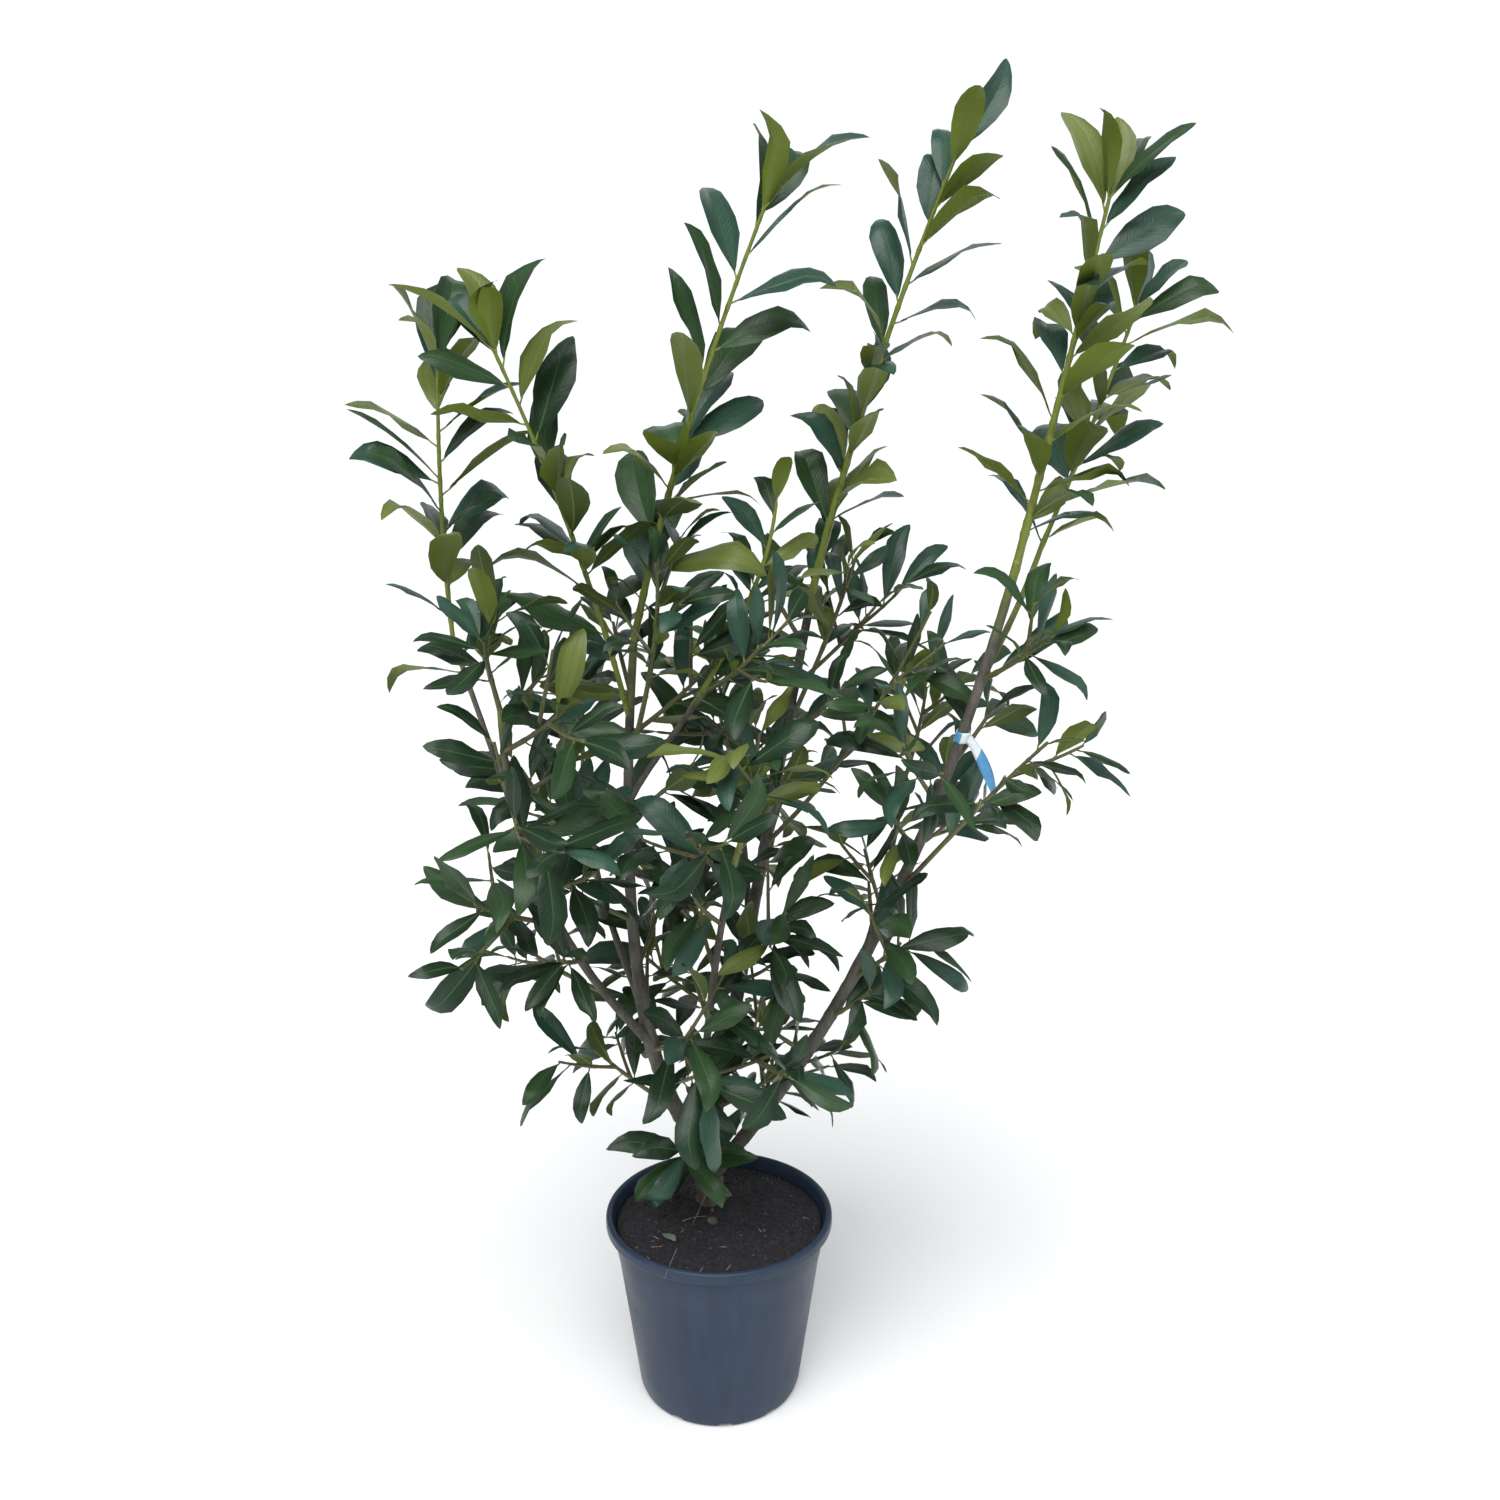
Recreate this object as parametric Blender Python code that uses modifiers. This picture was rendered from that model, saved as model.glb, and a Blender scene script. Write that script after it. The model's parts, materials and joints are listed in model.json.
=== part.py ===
"""Potted cherry laurel: a many-stemmed evergreen shrub about 1.65 m tall in a round nursery pot.

Metres, +Z up. The origin is the centre of the pot's underside. The front is -Y and +X is to the right.
The stems are arcs that fork from each other. Each mass of leaves is one solid that grows from one stem by a
seeded rule: side twigs in a spiral, and leaves in a spiral on every twig.
"""

import math
import random
from collections import namedtuple

import bmesh
import bpy
from mathutils import Matrix, Vector
from mathutils.bvhtree import BVHTree

# The pot: a 12 litre nursery container with a rolled rim, a collar and drain slots round its foot.
POT_HEIGHT = 0.253
RIM_RADIUS = 0.150
RIM_DROP = 0.015
RIM_OVERHANG = 0.010
COLLAR_DROP = 0.050
COLLAR_STEP = 0.0022
BODY_TOP_RADIUS = 0.1365
BASE_RADIUS = 0.1085
FOOT_ROUND = 0.006
WALL = 0.003
POT_STEPS = 32
DRAIN_SLOTS = 10
SLOT_WIDTH = 0.018
SLOT_HEIGHT = 0.006
SLOT_PHASE = math.radians(-13)

# The soil fills the pot to just below the rim.
SOIL_LEVEL = 0.241
SOIL_EDGE_DROP = 0.005
SOIL_FLAT_RADIUS = 0.075

# Pieces that touch keep this gap, and a leaf or twig keeps the larger one to what it only passes.
GAP = 0.0003
PASSING_GAP = 0.0012

LIMB_SIDES = 8
LIMB_STATIONS = 8
TWIG_SIDES = 3
UP = Vector((0, 0, 1))
# The blades turn towards the light, which comes from above and in front.
LIGHT = Vector((0.08, -0.38, 0.75))

# One leaf: length over width, thickness over length, how far the middle stands over the chord.
LEAF_SLIMNESS = 3.1
LEAF_THICKNESS = 0.022
LEAF_MIDDLE = 0.52
# A four-cornered leaf is drawn wider than a rounded one, so that both cover as much.
LEAF_CORNER_GAIN = 1.28
# The share of a leaf next to its twig that the clearance test leaves out.
LEAF_ROOT = 0.16
LEAF_TRIES = 5
SEAT_TRIES = 21
# How much the blade's halves fold up, as a share of its width, and how far it rolls either way, in degrees.
LEAF_FOLD = 0.10
LEAF_ROLL = 38
# How far a leaf's foot is sunk behind its twig's axis.
LEAF_SINK = 0.0007

# Stems and twigs of the masses.
STEM_STATIONS = 6
SIDE_STATIONS = 3
STEM_TIP_RADIUS = 0.0022
SIDE_RADIUS = 0.0034
TWIG_RADIUS = 0.0028
SIDE_LEAVES = 5
SIDE_LEAF_LENGTH = 0.118
SIDE_SLOPE = 56
SIDE_TWIGS = 2
SIDE_TWIG_LENGTH = 0.085
TWIG_LEAVES = 3
# Leaves stand in two loose ranks on a long bare shoot, and in a spiral elsewhere, in degrees from leaf to leaf.
TWO_RANKS = 166
SPIRAL = 137.5

# The plain label that hangs from a loop round one bough.
TAG_LIMB = "right_bough"
TAG_WHERE = 0.79
TAG_WIDTH = 0.014
TAG_LENGTH = 0.080
TAG_THICKNESS = 0.0012
TAG_TURN = -30
# Nothing grows within this radius in front of the label, which shows whole: the way to the eye, and how far.
TAG_SIGHT = Vector((-0.16, -0.95, 0.25))
SIGHT_RADIUS = 0.034
SIGHT_LENGTH = 0.35

GROWTH_SEED = 4168

Arc = namedtuple("Arc", "foot bend tip")
Limb = namedtuple("Limb", "name parent where bend tip foot_radius tip_radius")
# A leader is a mass whose stem is given by its bend and tip; `where` is its place along the parent.
Leader = namedtuple(
    "Leader", "name parent where bend tip leaves leaf_length slope first_turn twigs twig_length"
)
# A row of side masses leaves one limb at even steps, each turned on from the last.
Row = namedtuple("Row", "name parent count start end length first_turn step_turn rise")
Mass = namedtuple(
    "Mass", "name parent arc radius leaves leaf_length slope turn first_turn twigs twig_length bare seed"
)
Twig = namedtuple("Twig", "points radii")
Leaf = namedtuple("Leaf", "base along face length width arch")

TRUNK = Limb("trunk", None, 0, (-0.016, 0.037, 0.290), (-0.033, 0.028, 0.345), 0.0165, 0.0125)
TRUNK_FOOT = Vector((-0.011, 0.041, SOIL_LEVEL + GAP))
TRUNK_FLARE = 0.45

LIMBS = (
    TRUNK,
    Limb("left_bough", "trunk", 1, (-0.140, 0.000, 0.500), (-0.099, 0.000, 1.016), 0.0110, 0.0048),
    Limb("centre_bough", "trunk", 0.50, (0.055, 0.146, 0.680), (0.120, 0.108, 1.060), 0.0105, 0.0052),
    Limb("right_bough", "trunk", 0.35, (0.236, 0.010, 0.586), (0.350, -0.050, 1.117), 0.0100, 0.0052),
    Limb("front_bough", "trunk", 0.80, (-0.008, -0.075, 0.660), (0.031, -0.120, 0.801), 0.0056, 0.0036),
    Limb("outer_left_bough", "left_bough", 0.33, (-0.235, -0.135, 0.714), (-0.238, -0.140, 0.960), 0.0060, 0.0035),
    Limb("far_left_bough", "outer_left_bough", 0.58, (-0.260, -0.060, 0.880), (-0.314, -0.015, 1.020), 0.0040, 0.0030),
    Limb("inner_bough", "left_bough", 0.79, (-0.060, -0.010, 0.895), (-0.010, -0.055, 0.965), 0.0042, 0.0030),
    Limb("right_fork_bough", "right_bough", 0.87, (0.358, -0.020, 1.050), (0.388, 0.010, 1.125), 0.0042, 0.0032),
    Limb("back_left_bough", "left_bough", 0.42, (-0.170, 0.130, 0.640), (-0.190, 0.190, 0.790), 0.0052, 0.0032),
    Limb("back_bough", "centre_bough", 0.40, (0.040, 0.230, 0.680), (0.010, 0.265, 0.820), 0.0052, 0.0032),
    Limb("back_right_bough", "right_bough", 0.45, (0.220, 0.110, 0.640), (0.255, 0.190, 0.800), 0.0052, 0.0032),
)

LEADERS = (
    Leader("left_shoot", "left_bough", 1, (-0.050, -0.025, 1.240), (0.057, -0.050, 1.500),
           16, 0.140, 52, 330, 0, 0),
    Leader("centre_shoot", "centre_bough", 1, (0.175, 0.085, 1.310), (0.276, 0.022, 1.570),
           20, 0.124, 48, 150, 0, 0),
    Leader("right_shoot", "right_bough", 1, (0.395, -0.055, 1.330), (0.430, -0.060, 1.510),
           16, 0.126, 52, 0, 0, 0),
    Leader("far_right_shoot", "right_fork_bough", 1, (0.450, 0.035, 1.270), (0.495, 0.050, 1.400),
           15, 0.128, 56, 330, 0, 0),
    Leader("far_left_shoot", "far_left_bough", 1, (-0.328, 0.000, 1.184), (-0.318, 0.000, 1.345),
           15, 0.130, 56, 270, 0, 0),
    Leader("inner_left_shoot", "left_bough", 0.90, (-0.150, -0.030, 1.130), (-0.240, -0.080, 1.350),
           17, 0.130, 56, 30, 0, 0),
    Leader("left_fork_head", "left_bough", 0.84, (-0.058, -0.055, 1.030), (-0.066, -0.075, 1.115),
           9, 0.105, 52, 100, 3, 0.07),
    Leader("outer_left_head", "outer_left_bough", 1, (-0.246, -0.148, 1.000), (-0.255, -0.152, 1.040),
           8, 0.110, 66, 240, 2, 0.07),
    Leader("front_head", "front_bough", 1, (0.042, -0.140, 0.855), (0.055, -0.152, 0.895),
           8, 0.115, 62, 30, 2, 0.07),
    Leader("inner_head", "inner_bough", 1, (0.030, -0.080, 0.990), (0.055, -0.092, 1.025),
           7, 0.105, 56, 210, 2, 0.06),
    Leader("inner_sprig", "inner_bough", 0.75, (0.064, 0.000, 1.080), (0.072, 0.010, 1.180),
           9, 0.085, 48, 60, 0, 0),
    Leader("centre_fork_shoot", "centre_bough", 0.76, (0.150, 0.100, 1.020), (0.174, 0.085, 1.110),
           8, 0.100, 54, 60, 2, 0.07),
    Leader("right_low_head", "right_bough", 0.56, (0.320, -0.070, 0.840), (0.382, -0.110, 0.915),
           8, 0.108, 60, 30, 3, 0.07),
    Leader("right_high_head", "right_bough", 0.86, (0.350, -0.090, 1.005), (0.380, -0.115, 1.040),
           7, 0.105, 60, 60, 1, 0.06),
    Leader("centre_right_sprig", "centre_bough", 0.56, (0.175, 0.040, 0.858), (0.256, -0.010, 1.052),
           10, 0.098, 54, 60, 3, 0.08),
    Leader("back_left_head", "back_left_bough", 1, (-0.190, 0.215, 0.830), (-0.190, 0.225, 0.890),
           8, 0.115, 56, 60, 2, 0.07),
    Leader("back_head", "back_bough", 1, (-0.005, 0.280, 0.870), (-0.015, 0.285, 0.940),
           8, 0.115, 56, 330, 2, 0.07),
    Leader("back_right_head", "back_right_bough", 1, (0.275, 0.220, 0.845), (0.285, 0.230, 0.915),
           8, 0.115, 58, 150, 2, 0.07),
    Leader("foot_sprig", "trunk", 0.62, (-0.045, -0.014, 0.345), (-0.045, -0.044, 0.362),
           8, 0.100, 64, 60, 0, 0),
)

ROWS = (
    Row("left_side", "left_bough", 5, 0.12, 0.88, 0.135, 160, 137, 26),
    Row("centre_side", "centre_bough", 6, 0.10, 0.84, 0.135, 20, 137, 26),
    Row("right_side", "right_bough", 5, 0.14, 0.70, 0.100, 40, 137, 36),
    Row("outer_left_side", "outer_left_bough", 4, 0.20, 0.90, 0.100, 165, 55, 16),
    Row("front_side", "front_bough", 3, 0.20, 0.82, 0.115, 330, 137, 26),
    Row("back_left_side", "back_left_bough", 1, 0.70, 0.70, 0.110, 140, 0, 26),
    Row("back_side", "back_bough", 1, 0.60, 0.60, 0.110, 60, 0, 26),
    Row("back_right_side", "back_right_bough", 1, 0.60, 0.60, 0.110, 20, 0, 26),
)

def point_on(arc, share):
    return arc.foot * (1 - share) ** 2 + arc.bend * (2 * share * (1 - share)) + arc.tip * share**2


def tangent_on(arc, share):
    return ((arc.bend - arc.foot) * (1 - share) + (arc.tip - arc.bend) * share).normalized()


def radial(tangent, turn):
    """The direction square to a tangent at this turn round it. On an upright stem turn 0 is +X and 90 is +Y."""
    reference = Vector((1, 0, 0)) if abs(tangent.x) < 0.8 else UP
    across = (reference - tangent * reference.dot(tangent)).normalized()
    return across * math.cos(math.radians(turn)) + tangent.cross(across) * math.sin(math.radians(turn))


def limb_arcs():
    """Each limb's arc. A limb starts on its parent's axis, and the trunk starts in the soil's surface."""
    arcs = {}
    for limb in LIMBS:
        foot = point_on(arcs[limb.parent], limb.where) if limb.parent else TRUNK_FOOT
        arcs[limb.name] = Arc(foot, Vector(limb.bend), Vector(limb.tip))
    return arcs


def limb_radius(limb, share):
    radius = limb.foot_radius + (limb.tip_radius - limb.foot_radius) * share
    if limb is TRUNK:
        radius *= 1 + TRUNK_FLARE * math.exp(-share / 0.14)
    return radius


def limb_tube(limb, arc, extra=0.0):
    """The points and radii along a limb, made larger all round by `extra`."""
    points = [point_on(arc, step / LIMB_STATIONS) for step in range(LIMB_STATIONS + 1)]
    radii = [limb_radius(limb, step / LIMB_STATIONS) + extra for step in range(LIMB_STATIONS + 1)]
    points[0] = points[0] - tangent_on(arc, 0) * extra
    points[-1] = points[-1] + tangent_on(arc, 1) * extra
    return Twig(points, radii)


def arc_tube(arc, stations, foot_radius, tip_radius):
    points = [point_on(arc, step / stations) for step in range(stations + 1)]
    radii = [foot_radius + (tip_radius - foot_radius) * step / stations for step in range(stations + 1)]
    return Twig(points, radii)


def eight_faces():
    """The points and faces of a sphere of four segments and two rings, which every leaf is shaped from."""
    work = bmesh.new()
    bmesh.ops.create_uvsphere(work, u_segments=4, v_segments=2, radius=1)
    points = [vertex.co.copy() for vertex in work.verts]
    faces = [tuple(vertex.index for vertex in face.verts) for face in work.faces]
    work.free()
    return points, faces


LEAF_POINTS, LEAF_FACES = eight_faces()


def leaf_corners(leaf, root=0.0, extra=0.0):
    """A leaf's six corners: its foot and tip lie on the chord, and its middle stands over the chord."""
    side = leaf.along.cross(leaf.face)
    corners = []
    for point in LEAF_POINTS:
        middle = abs(point.y) < 0.5
        share = LEAF_MIDDLE if middle else root if point.y < 0 else 1 + extra / leaf.length
        lift = leaf.arch * leaf.length if middle else 0
        lift += point.z * (leaf.length * LEAF_THICKNESS / 2 + extra) + abs(point.x) * LEAF_FOLD * leaf.width
        across = point.x * (leaf.width / 2 + extra)
        corners.append(leaf.base + leaf.along * (leaf.length * share) + side * across + leaf.face * lift)
    return corners


def tube_cage(twig, extra, sides, first=0):
    """The points and faces of a coarse tube round a twig, from its station `first` on."""
    points = []
    faces = []
    for step in range(first, len(twig.points)):
        after = twig.points[min(step + 1, len(twig.points) - 1)]
        before = twig.points[max(step - 1, 0)]
        tangent = (after - before).normalized()
        for side in range(sides):
            points.append(twig.points[step] + radial(tangent, 360 * side / sides) * (twig.radii[step] + extra))
    for ring in range(len(points) // sides - 1):
        for side in range(sides):
            low = ring * sides + side
            turned = ring * sides + (side + 1) % sides
            faces.append((low, turned, turned + sides, low + sides))
    return points, faces


class Crown:
    """What has grown so far, kept by cells of space, to test whether a new twig or leaf stays clear of it."""

    CELL = 0.07

    def __init__(self):
        self.cells = {}

    def cells_round(self, points):
        lower = [math.floor(min(point[axis] for point in points) / self.CELL) for axis in range(3)]
        upper = [math.floor(max(point[axis] for point in points) / self.CELL) for axis in range(3)]
        for x in range(lower[0], upper[0] + 1):
            for y in range(lower[1], upper[1] + 1):
                for z in range(lower[2], upper[2] + 1):
                    yield x, y, z

    def take(self, owner, kin, whole, outer, given=False):
        """Keeps a piece if it is free or given, and says which. Towards its kin only its outer part counts."""
        whole_tree = BVHTree.FromPolygons(*whole)
        outer_tree = BVHTree.FromPolygons(*outer)
        tested = set()
        cells = list(self.cells_round(whole[0]))
        for cell in cells:
            for other in () if given else self.cells.get(cell, ()):
                if id(other) in tested:
                    continue
                tested.add(id(other))
                other_owner, other_whole, other_outer = other
                if other_owner in kin:
                    clash = outer_tree.overlap(other_outer)
                else:
                    clash = whole_tree.overlap(other_whole)
                if clash:
                    return False
        piece = (owner, whole_tree, outer_tree)
        for cell in cells:
            self.cells.setdefault(cell, []).append(piece)
        return True


def clear_of_pot(points):
    """Whether all points stay over the soil inside the rim, and over the rim elsewhere."""
    for point in points:
        inside = math.hypot(point.x, point.y) < RIM_RADIUS - 3 * WALL - 0.012
        if point.z < (SOIL_LEVEL if inside else POT_HEIGHT) + 0.006:
            return False
    return True


def tag_seat(arcs):
    """Where the label's loop sits: its centre, the bough's direction there, the strip's side and its radius."""
    limb = next(limb for limb in LIMBS if limb.name == TAG_LIMB)
    tangent = tangent_on(arcs[TAG_LIMB], TAG_WHERE)
    radius = limb_radius(limb, TAG_WHERE - 0.02) + 2 * GAP + 0.0004
    return point_on(arcs[TAG_LIMB], TAG_WHERE), tangent, radial(tangent, TAG_TURN), radius


def tag_point(arcs, share):
    """A point along the middle of the strip, from the loop to its loose end."""
    centre, _, side, radius = tag_seat(arcs)
    out = radius + TAG_THICKNESS / 2 + TAG_LENGTH * 0.55 * math.sin(share * 1.3)
    return centre + side * out - UP * (TAG_LENGTH * 0.80 * share**1.3)


def leader_arc(leader, arcs):
    parent = arcs[leader.parent]
    foot = point_on(parent, leader.where)
    if leader.where == 1:
        foot = foot - tangent_on(parent, 1) * 0.002
    return Arc(foot, Vector(leader.bend), Vector(leader.tip))


def side_arc(row, parent, step, swing, shift, rng):
    """The stem of a row's side mass: it leaves its limb outwards, and its end turns up."""
    share = row.start + (row.end - row.start) * step / max(row.count - 1, 1) + shift
    out = radial(tangent_on(parent, share), row.first_turn + row.step_turn * step + swing)
    out = Vector((out.x, out.y, 0)).normalized()
    rise = math.radians(row.rise + 22 * (share - 0.4))
    ahead = out * math.cos(rise) + UP * math.sin(rise)
    length = row.length * rng.uniform(0.9, 1.1)
    foot = point_on(parent, share)
    bend = foot + ahead * (length * 0.6)
    tip = bend + (ahead + UP * 0.30).normalized() * (length * 0.5)
    return Arc(foot, bend, tip)


def leader_mass(leader, arcs, seed):
    radius = 0.0036
    if leader.where == 1:
        limb = next(limb for limb in LIMBS if limb.name == leader.parent)
        radius = min(limb_radius(limb, 1) * 0.98, 0.0052)
    turn = SPIRAL if leader.twigs else TWO_RANKS
    return Mass(leader.name, leader.parent, leader_arc(leader, arcs), radius, leader.leaves, leader.leaf_length,
                leader.slope, turn, leader.first_turn, leader.twigs, leader.twig_length, not leader.twigs, seed)


def side_mass(row, step, arc, seed):
    return Mass(f"{row.name}_{step + 1}", row.parent, arc, SIDE_RADIUS, SIDE_LEAVES, SIDE_LEAF_LENGTH, SIDE_SLOPE,
                SPIRAL, random.Random(seed).uniform(0, 360), SIDE_TWIGS, SIDE_TWIG_LENGTH, False, seed)


def seat_masses(arcs, crown):
    """Every mass with its stem, from the leaders and the rows. A row's stem swings aside until it is free."""
    masses = [leader_mass(leader, arcs, GROWTH_SEED + index) for index, leader in enumerate(LEADERS)]
    for mass in masses:
        twig = arc_tube(mass.arc, STEM_STATIONS, mass.radius, STEM_TIP_RADIUS)
        outer = tube_cage(twig, PASSING_GAP, 3, 1)
        crown.take(mass.name, set(), tube_cage(twig, PASSING_GAP, 3), outer, given=True)
    for row in ROWS:
        rng = random.Random(GROWTH_SEED + len(masses))
        for step in range(row.count):
            for attempt in range(SEAT_TRIES):
                swing = (attempt + 1) // 2 * 17 * (1 if attempt % 2 else -1)
                arc = side_arc(row, arcs[row.parent], step, swing, -0.035 * (attempt % 3), rng)
                twig = arc_tube(arc, SIDE_STATIONS, SIDE_RADIUS, STEM_TIP_RADIUS)
                whole = tube_cage(twig, PASSING_GAP, 3)
                mass = side_mass(row, step, arc, GROWTH_SEED + len(masses))
                kin = {mass.name, row.parent}
                outer = tube_cage(twig, PASSING_GAP, 3, 1)
                if clear_of_pot(whole[0]) and crown.take(mass.name, kin, whole, outer):
                    masses.append(mass)
                    break
    return masses


def grow_twigs(mass, crown):
    """The side twigs of a mass: they leave its stem in a spiral and turn up at their ends."""
    twigs = []
    for step in range(mass.twigs):
        rng = random.Random(mass.seed * 1000 + 900 + step)
        share = 0.42 + 0.40 * (step + 0.5) / mass.twigs
        tangent = tangent_on(mass.arc, share)
        for attempt in range(LEAF_TRIES):
            turn = mass.first_turn + 60 + 137.5 * step + attempt * 40 + rng.uniform(-15, 15)
            slope = math.radians(rng.uniform(42, 58))
            ahead = tangent * math.cos(slope) + radial(tangent, turn) * math.sin(slope)
            length = mass.twig_length * rng.uniform(0.85, 1.2)
            foot = point_on(mass.arc, share)
            bend = foot + ahead * (length * 0.55)
            arc = Arc(foot, bend, bend + (ahead + UP * 0.25).normalized() * (length * 0.5))
            twig = arc_tube(arc, 2, TWIG_RADIUS, STEM_TIP_RADIUS)
            cage = tube_cage(twig, PASSING_GAP, 3)
            outer = tube_cage(twig, PASSING_GAP, 3, 1)
            if clear_of_pot(cage[0]) and crown.take(mass.name, {mass.name}, cage, outer):
                twigs.append((arc, twig))
                break
    return twigs


def leaf_at(mass, arc, share, turn, length, slope, rng):
    """A leaf on an arc: its blade looks up and back at the stem, and droops more the lower it grows."""
    tangent = tangent_on(arc, share)
    out = radial(tangent, turn)
    low = max(0.0, min(1.0, (1.05 - point_on(arc, share).z) / 0.5))
    along = tangent * math.cos(slope) + out * math.sin(slope) - UP * (0.55 * low * math.sin(slope))
    along += Vector((rng.uniform(-1, 1), rng.uniform(-1, 1), rng.uniform(-1, 1))) * 0.10
    along.normalize()
    looks = LIGHT + tangent * 0.3 - out * 0.35
    face = looks - along * looks.dot(along)
    face = Matrix.Rotation(math.radians(rng.uniform(-LEAF_ROLL, LEAF_ROLL)), 3, along) @ face.normalized()
    width = length / LEAF_SLIMNESS * LEAF_CORNER_GAIN
    base = point_on(arc, share) - tangent * (LEAF_SINK * 4 * share**5) - along * LEAF_SINK
    return Leaf(base, along, face, length, width, rng.uniform(0.02, 0.07))


def grow_leaves(mass, arc, count, first, crown, first_seed, kept):
    """Leaves in a spiral along an arc, closer together and smaller towards its tip."""
    reach = (mass.twig_length if mass.twigs else 0) + mass.leaf_length * 1.05
    stem = [point_on(mass.arc, step / 8) for step in range(9)]
    shrink, swing, sway = (0.05, 26, 10) if mass.bare else (0.25, 16, 8)
    for step in range(count):
        rng = random.Random(mass.seed * 1000 + first_seed + step)
        share = first + (1 - first) * ((step + 1) / count) ** 0.85
        for attempt in range(LEAF_TRIES):
            turn = mass.first_turn + mass.turn * step + rng.uniform(-swing, swing) * (1 + attempt / 2)
            end = share**5
            length = mass.leaf_length * rng.uniform(0.86, 1.12) * (1 - shrink * end) * (1 - 0.06 * attempt)
            slope = math.radians(mass.slope * (1 - 0.40 * end) + rng.uniform(-sway, sway) * (1 + attempt / 2))
            leaf = leaf_at(mass, arc, share, turn, length, slope, rng)
            tip = leaf.base + leaf.along * leaf.length
            if min((tip - point).length for point in stem) > reach:
                continue
            whole = leaf_corners(leaf, 0.0, PASSING_GAP / 2)
            outer = leaf_corners(leaf, LEAF_ROOT, PASSING_GAP / 2)
            if not clear_of_pot(whole):
                continue
            if crown.take(mass.name, {mass.name}, (whole, LEAF_FACES), (outer, LEAF_FACES)):
                kept.append(leaf)
                break


def mass_leaves(mass, own_twigs, crown):
    leaves = []
    first = 0.10 if mass.bare else 0.30
    grow_leaves(mass, mass.arc, mass.leaves, first, crown, 0, leaves)
    for index, (arc, _) in enumerate(own_twigs):
        grow_leaves(mass, arc, TWIG_LEAVES, 0.22, crown, 100 + 100 * index, leaves)
    return leaves


def grow_crown():
    """The limbs' arcs and every mass with its twigs and leaves: first all stems, then twigs, then leaves."""
    arcs = limb_arcs()
    crown = Crown()
    for limb in LIMBS:
        cage = tube_cage(limb_tube(limb, arcs[limb.name]), PASSING_GAP, 8)
        crown.take(limb.name, set(), cage, cage, given=True)
    centre, tangent, _, radius = tag_seat(arcs)
    loop = Twig([centre - tangent * TAG_WIDTH, centre + tangent * TAG_WIDTH], [radius + TAG_THICKNESS] * 2)
    strip = Twig([tag_point(arcs, step / 4) for step in range(5)], [TAG_WIDTH * 0.7] * 5)
    middle = tag_point(arcs, 0.35)
    sight = Twig([middle + TAG_SIGHT * 0.01, middle + TAG_SIGHT * SIGHT_LENGTH], [SIGHT_RADIUS] * 2)
    for twig in (loop, strip, sight):
        cage = tube_cage(twig, PASSING_GAP, 6)
        crown.take("stem_tag", set(), cage, cage, given=True)
    masses = seat_masses(arcs, crown)
    twigs = [grow_twigs(mass, crown) for mass in masses]
    grown = []
    for mass, own_twigs in zip(masses, twigs):
        leaves = mass_leaves(mass, own_twigs, crown)
        grown.append((mass, [twig for _, twig in own_twigs], leaves))
    return arcs, grown


def material(name, colour, roughness):
    made = bpy.data.materials.new(name)
    made.use_nodes = True
    shader = made.node_tree.nodes["Principled BSDF"]
    shader.inputs["Base Color"].default_value = (*colour, 1)
    shader.inputs["Roughness"].default_value = roughness
    shader.inputs["Metallic"].default_value = 0
    return made


def keep(obj, group, made):
    """Puts a finished object in its collection with its one material."""
    for other in list(obj.users_collection):
        other.objects.unlink(obj)
    group.objects.link(obj)
    obj.data.materials.clear()
    obj.data.materials.append(made)
    return obj


def mesh_object(name, work, group):
    mesh = bpy.data.meshes.new(name)
    work.to_mesh(mesh)
    work.free()
    obj = bpy.data.objects.new(name, mesh)
    group.objects.link(obj)
    return obj


def applied(obj):
    """The object as its modifiers shape it, with the modifiers gone."""
    graph = bpy.context.evaluated_depsgraph_get()
    mesh = bpy.data.meshes.new_from_object(obj.evaluated_get(graph))
    obj.modifiers.clear()
    old = obj.data
    obj.data = mesh
    bpy.data.meshes.remove(old)
    return obj


def remove(objects):
    for obj in list(objects):
        bpy.data.objects.remove(obj)


def section(sides, helpers):
    """The guide that gives a tube its sides: a flat ring of this many corners."""
    curve = bpy.data.curves.new(f"section_{sides}", "CURVE")
    ring = curve.splines.new("POLY")
    ring.points.add(sides - 1)
    for index, point in enumerate(ring.points):
        turn = 2 * math.pi * index / sides
        point.co = (math.cos(turn), math.sin(turn), 0, 1)
    ring.use_cyclic_u = True
    obj = bpy.data.objects.new(curve.name, curve)
    obj.hide_render = True
    obj.display_type = "WIRE"
    helpers.objects.link(obj)
    return obj


def tube(name, twig, guide, group):
    """A solid tube along points with a radius at each, made a mesh with its caps welded."""
    curve = bpy.data.curves.new(name, "CURVE")
    curve.dimensions = "3D"
    curve.bevel_mode = "OBJECT"
    curve.bevel_object = guide
    curve.use_fill_caps = True
    line = curve.splines.new("POLY")
    line.points.add(len(twig.points) - 1)
    for point, place, radius in zip(line.points, twig.points, twig.radii):
        point.co = (*place, 1)
        point.radius = radius
    guide_line = bpy.data.objects.new(name, curve)
    group.objects.link(guide_line)
    graph = bpy.context.evaluated_depsgraph_get()
    mesh = bpy.data.meshes.new_from_object(guide_line.evaluated_get(graph))
    bpy.data.objects.remove(guide_line)
    bpy.data.curves.remove(curve)
    work = bmesh.new()
    work.from_mesh(mesh)
    bpy.data.meshes.remove(mesh)
    bmesh.ops.remove_doubles(work, verts=work.verts, dist=1e-6)
    bmesh.ops.recalc_face_normals(work, faces=work.faces)
    if shell_volume(work.faces) < 0:
        bmesh.ops.reverse_faces(work, faces=work.faces)
    return mesh_object(name, work, group)


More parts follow.
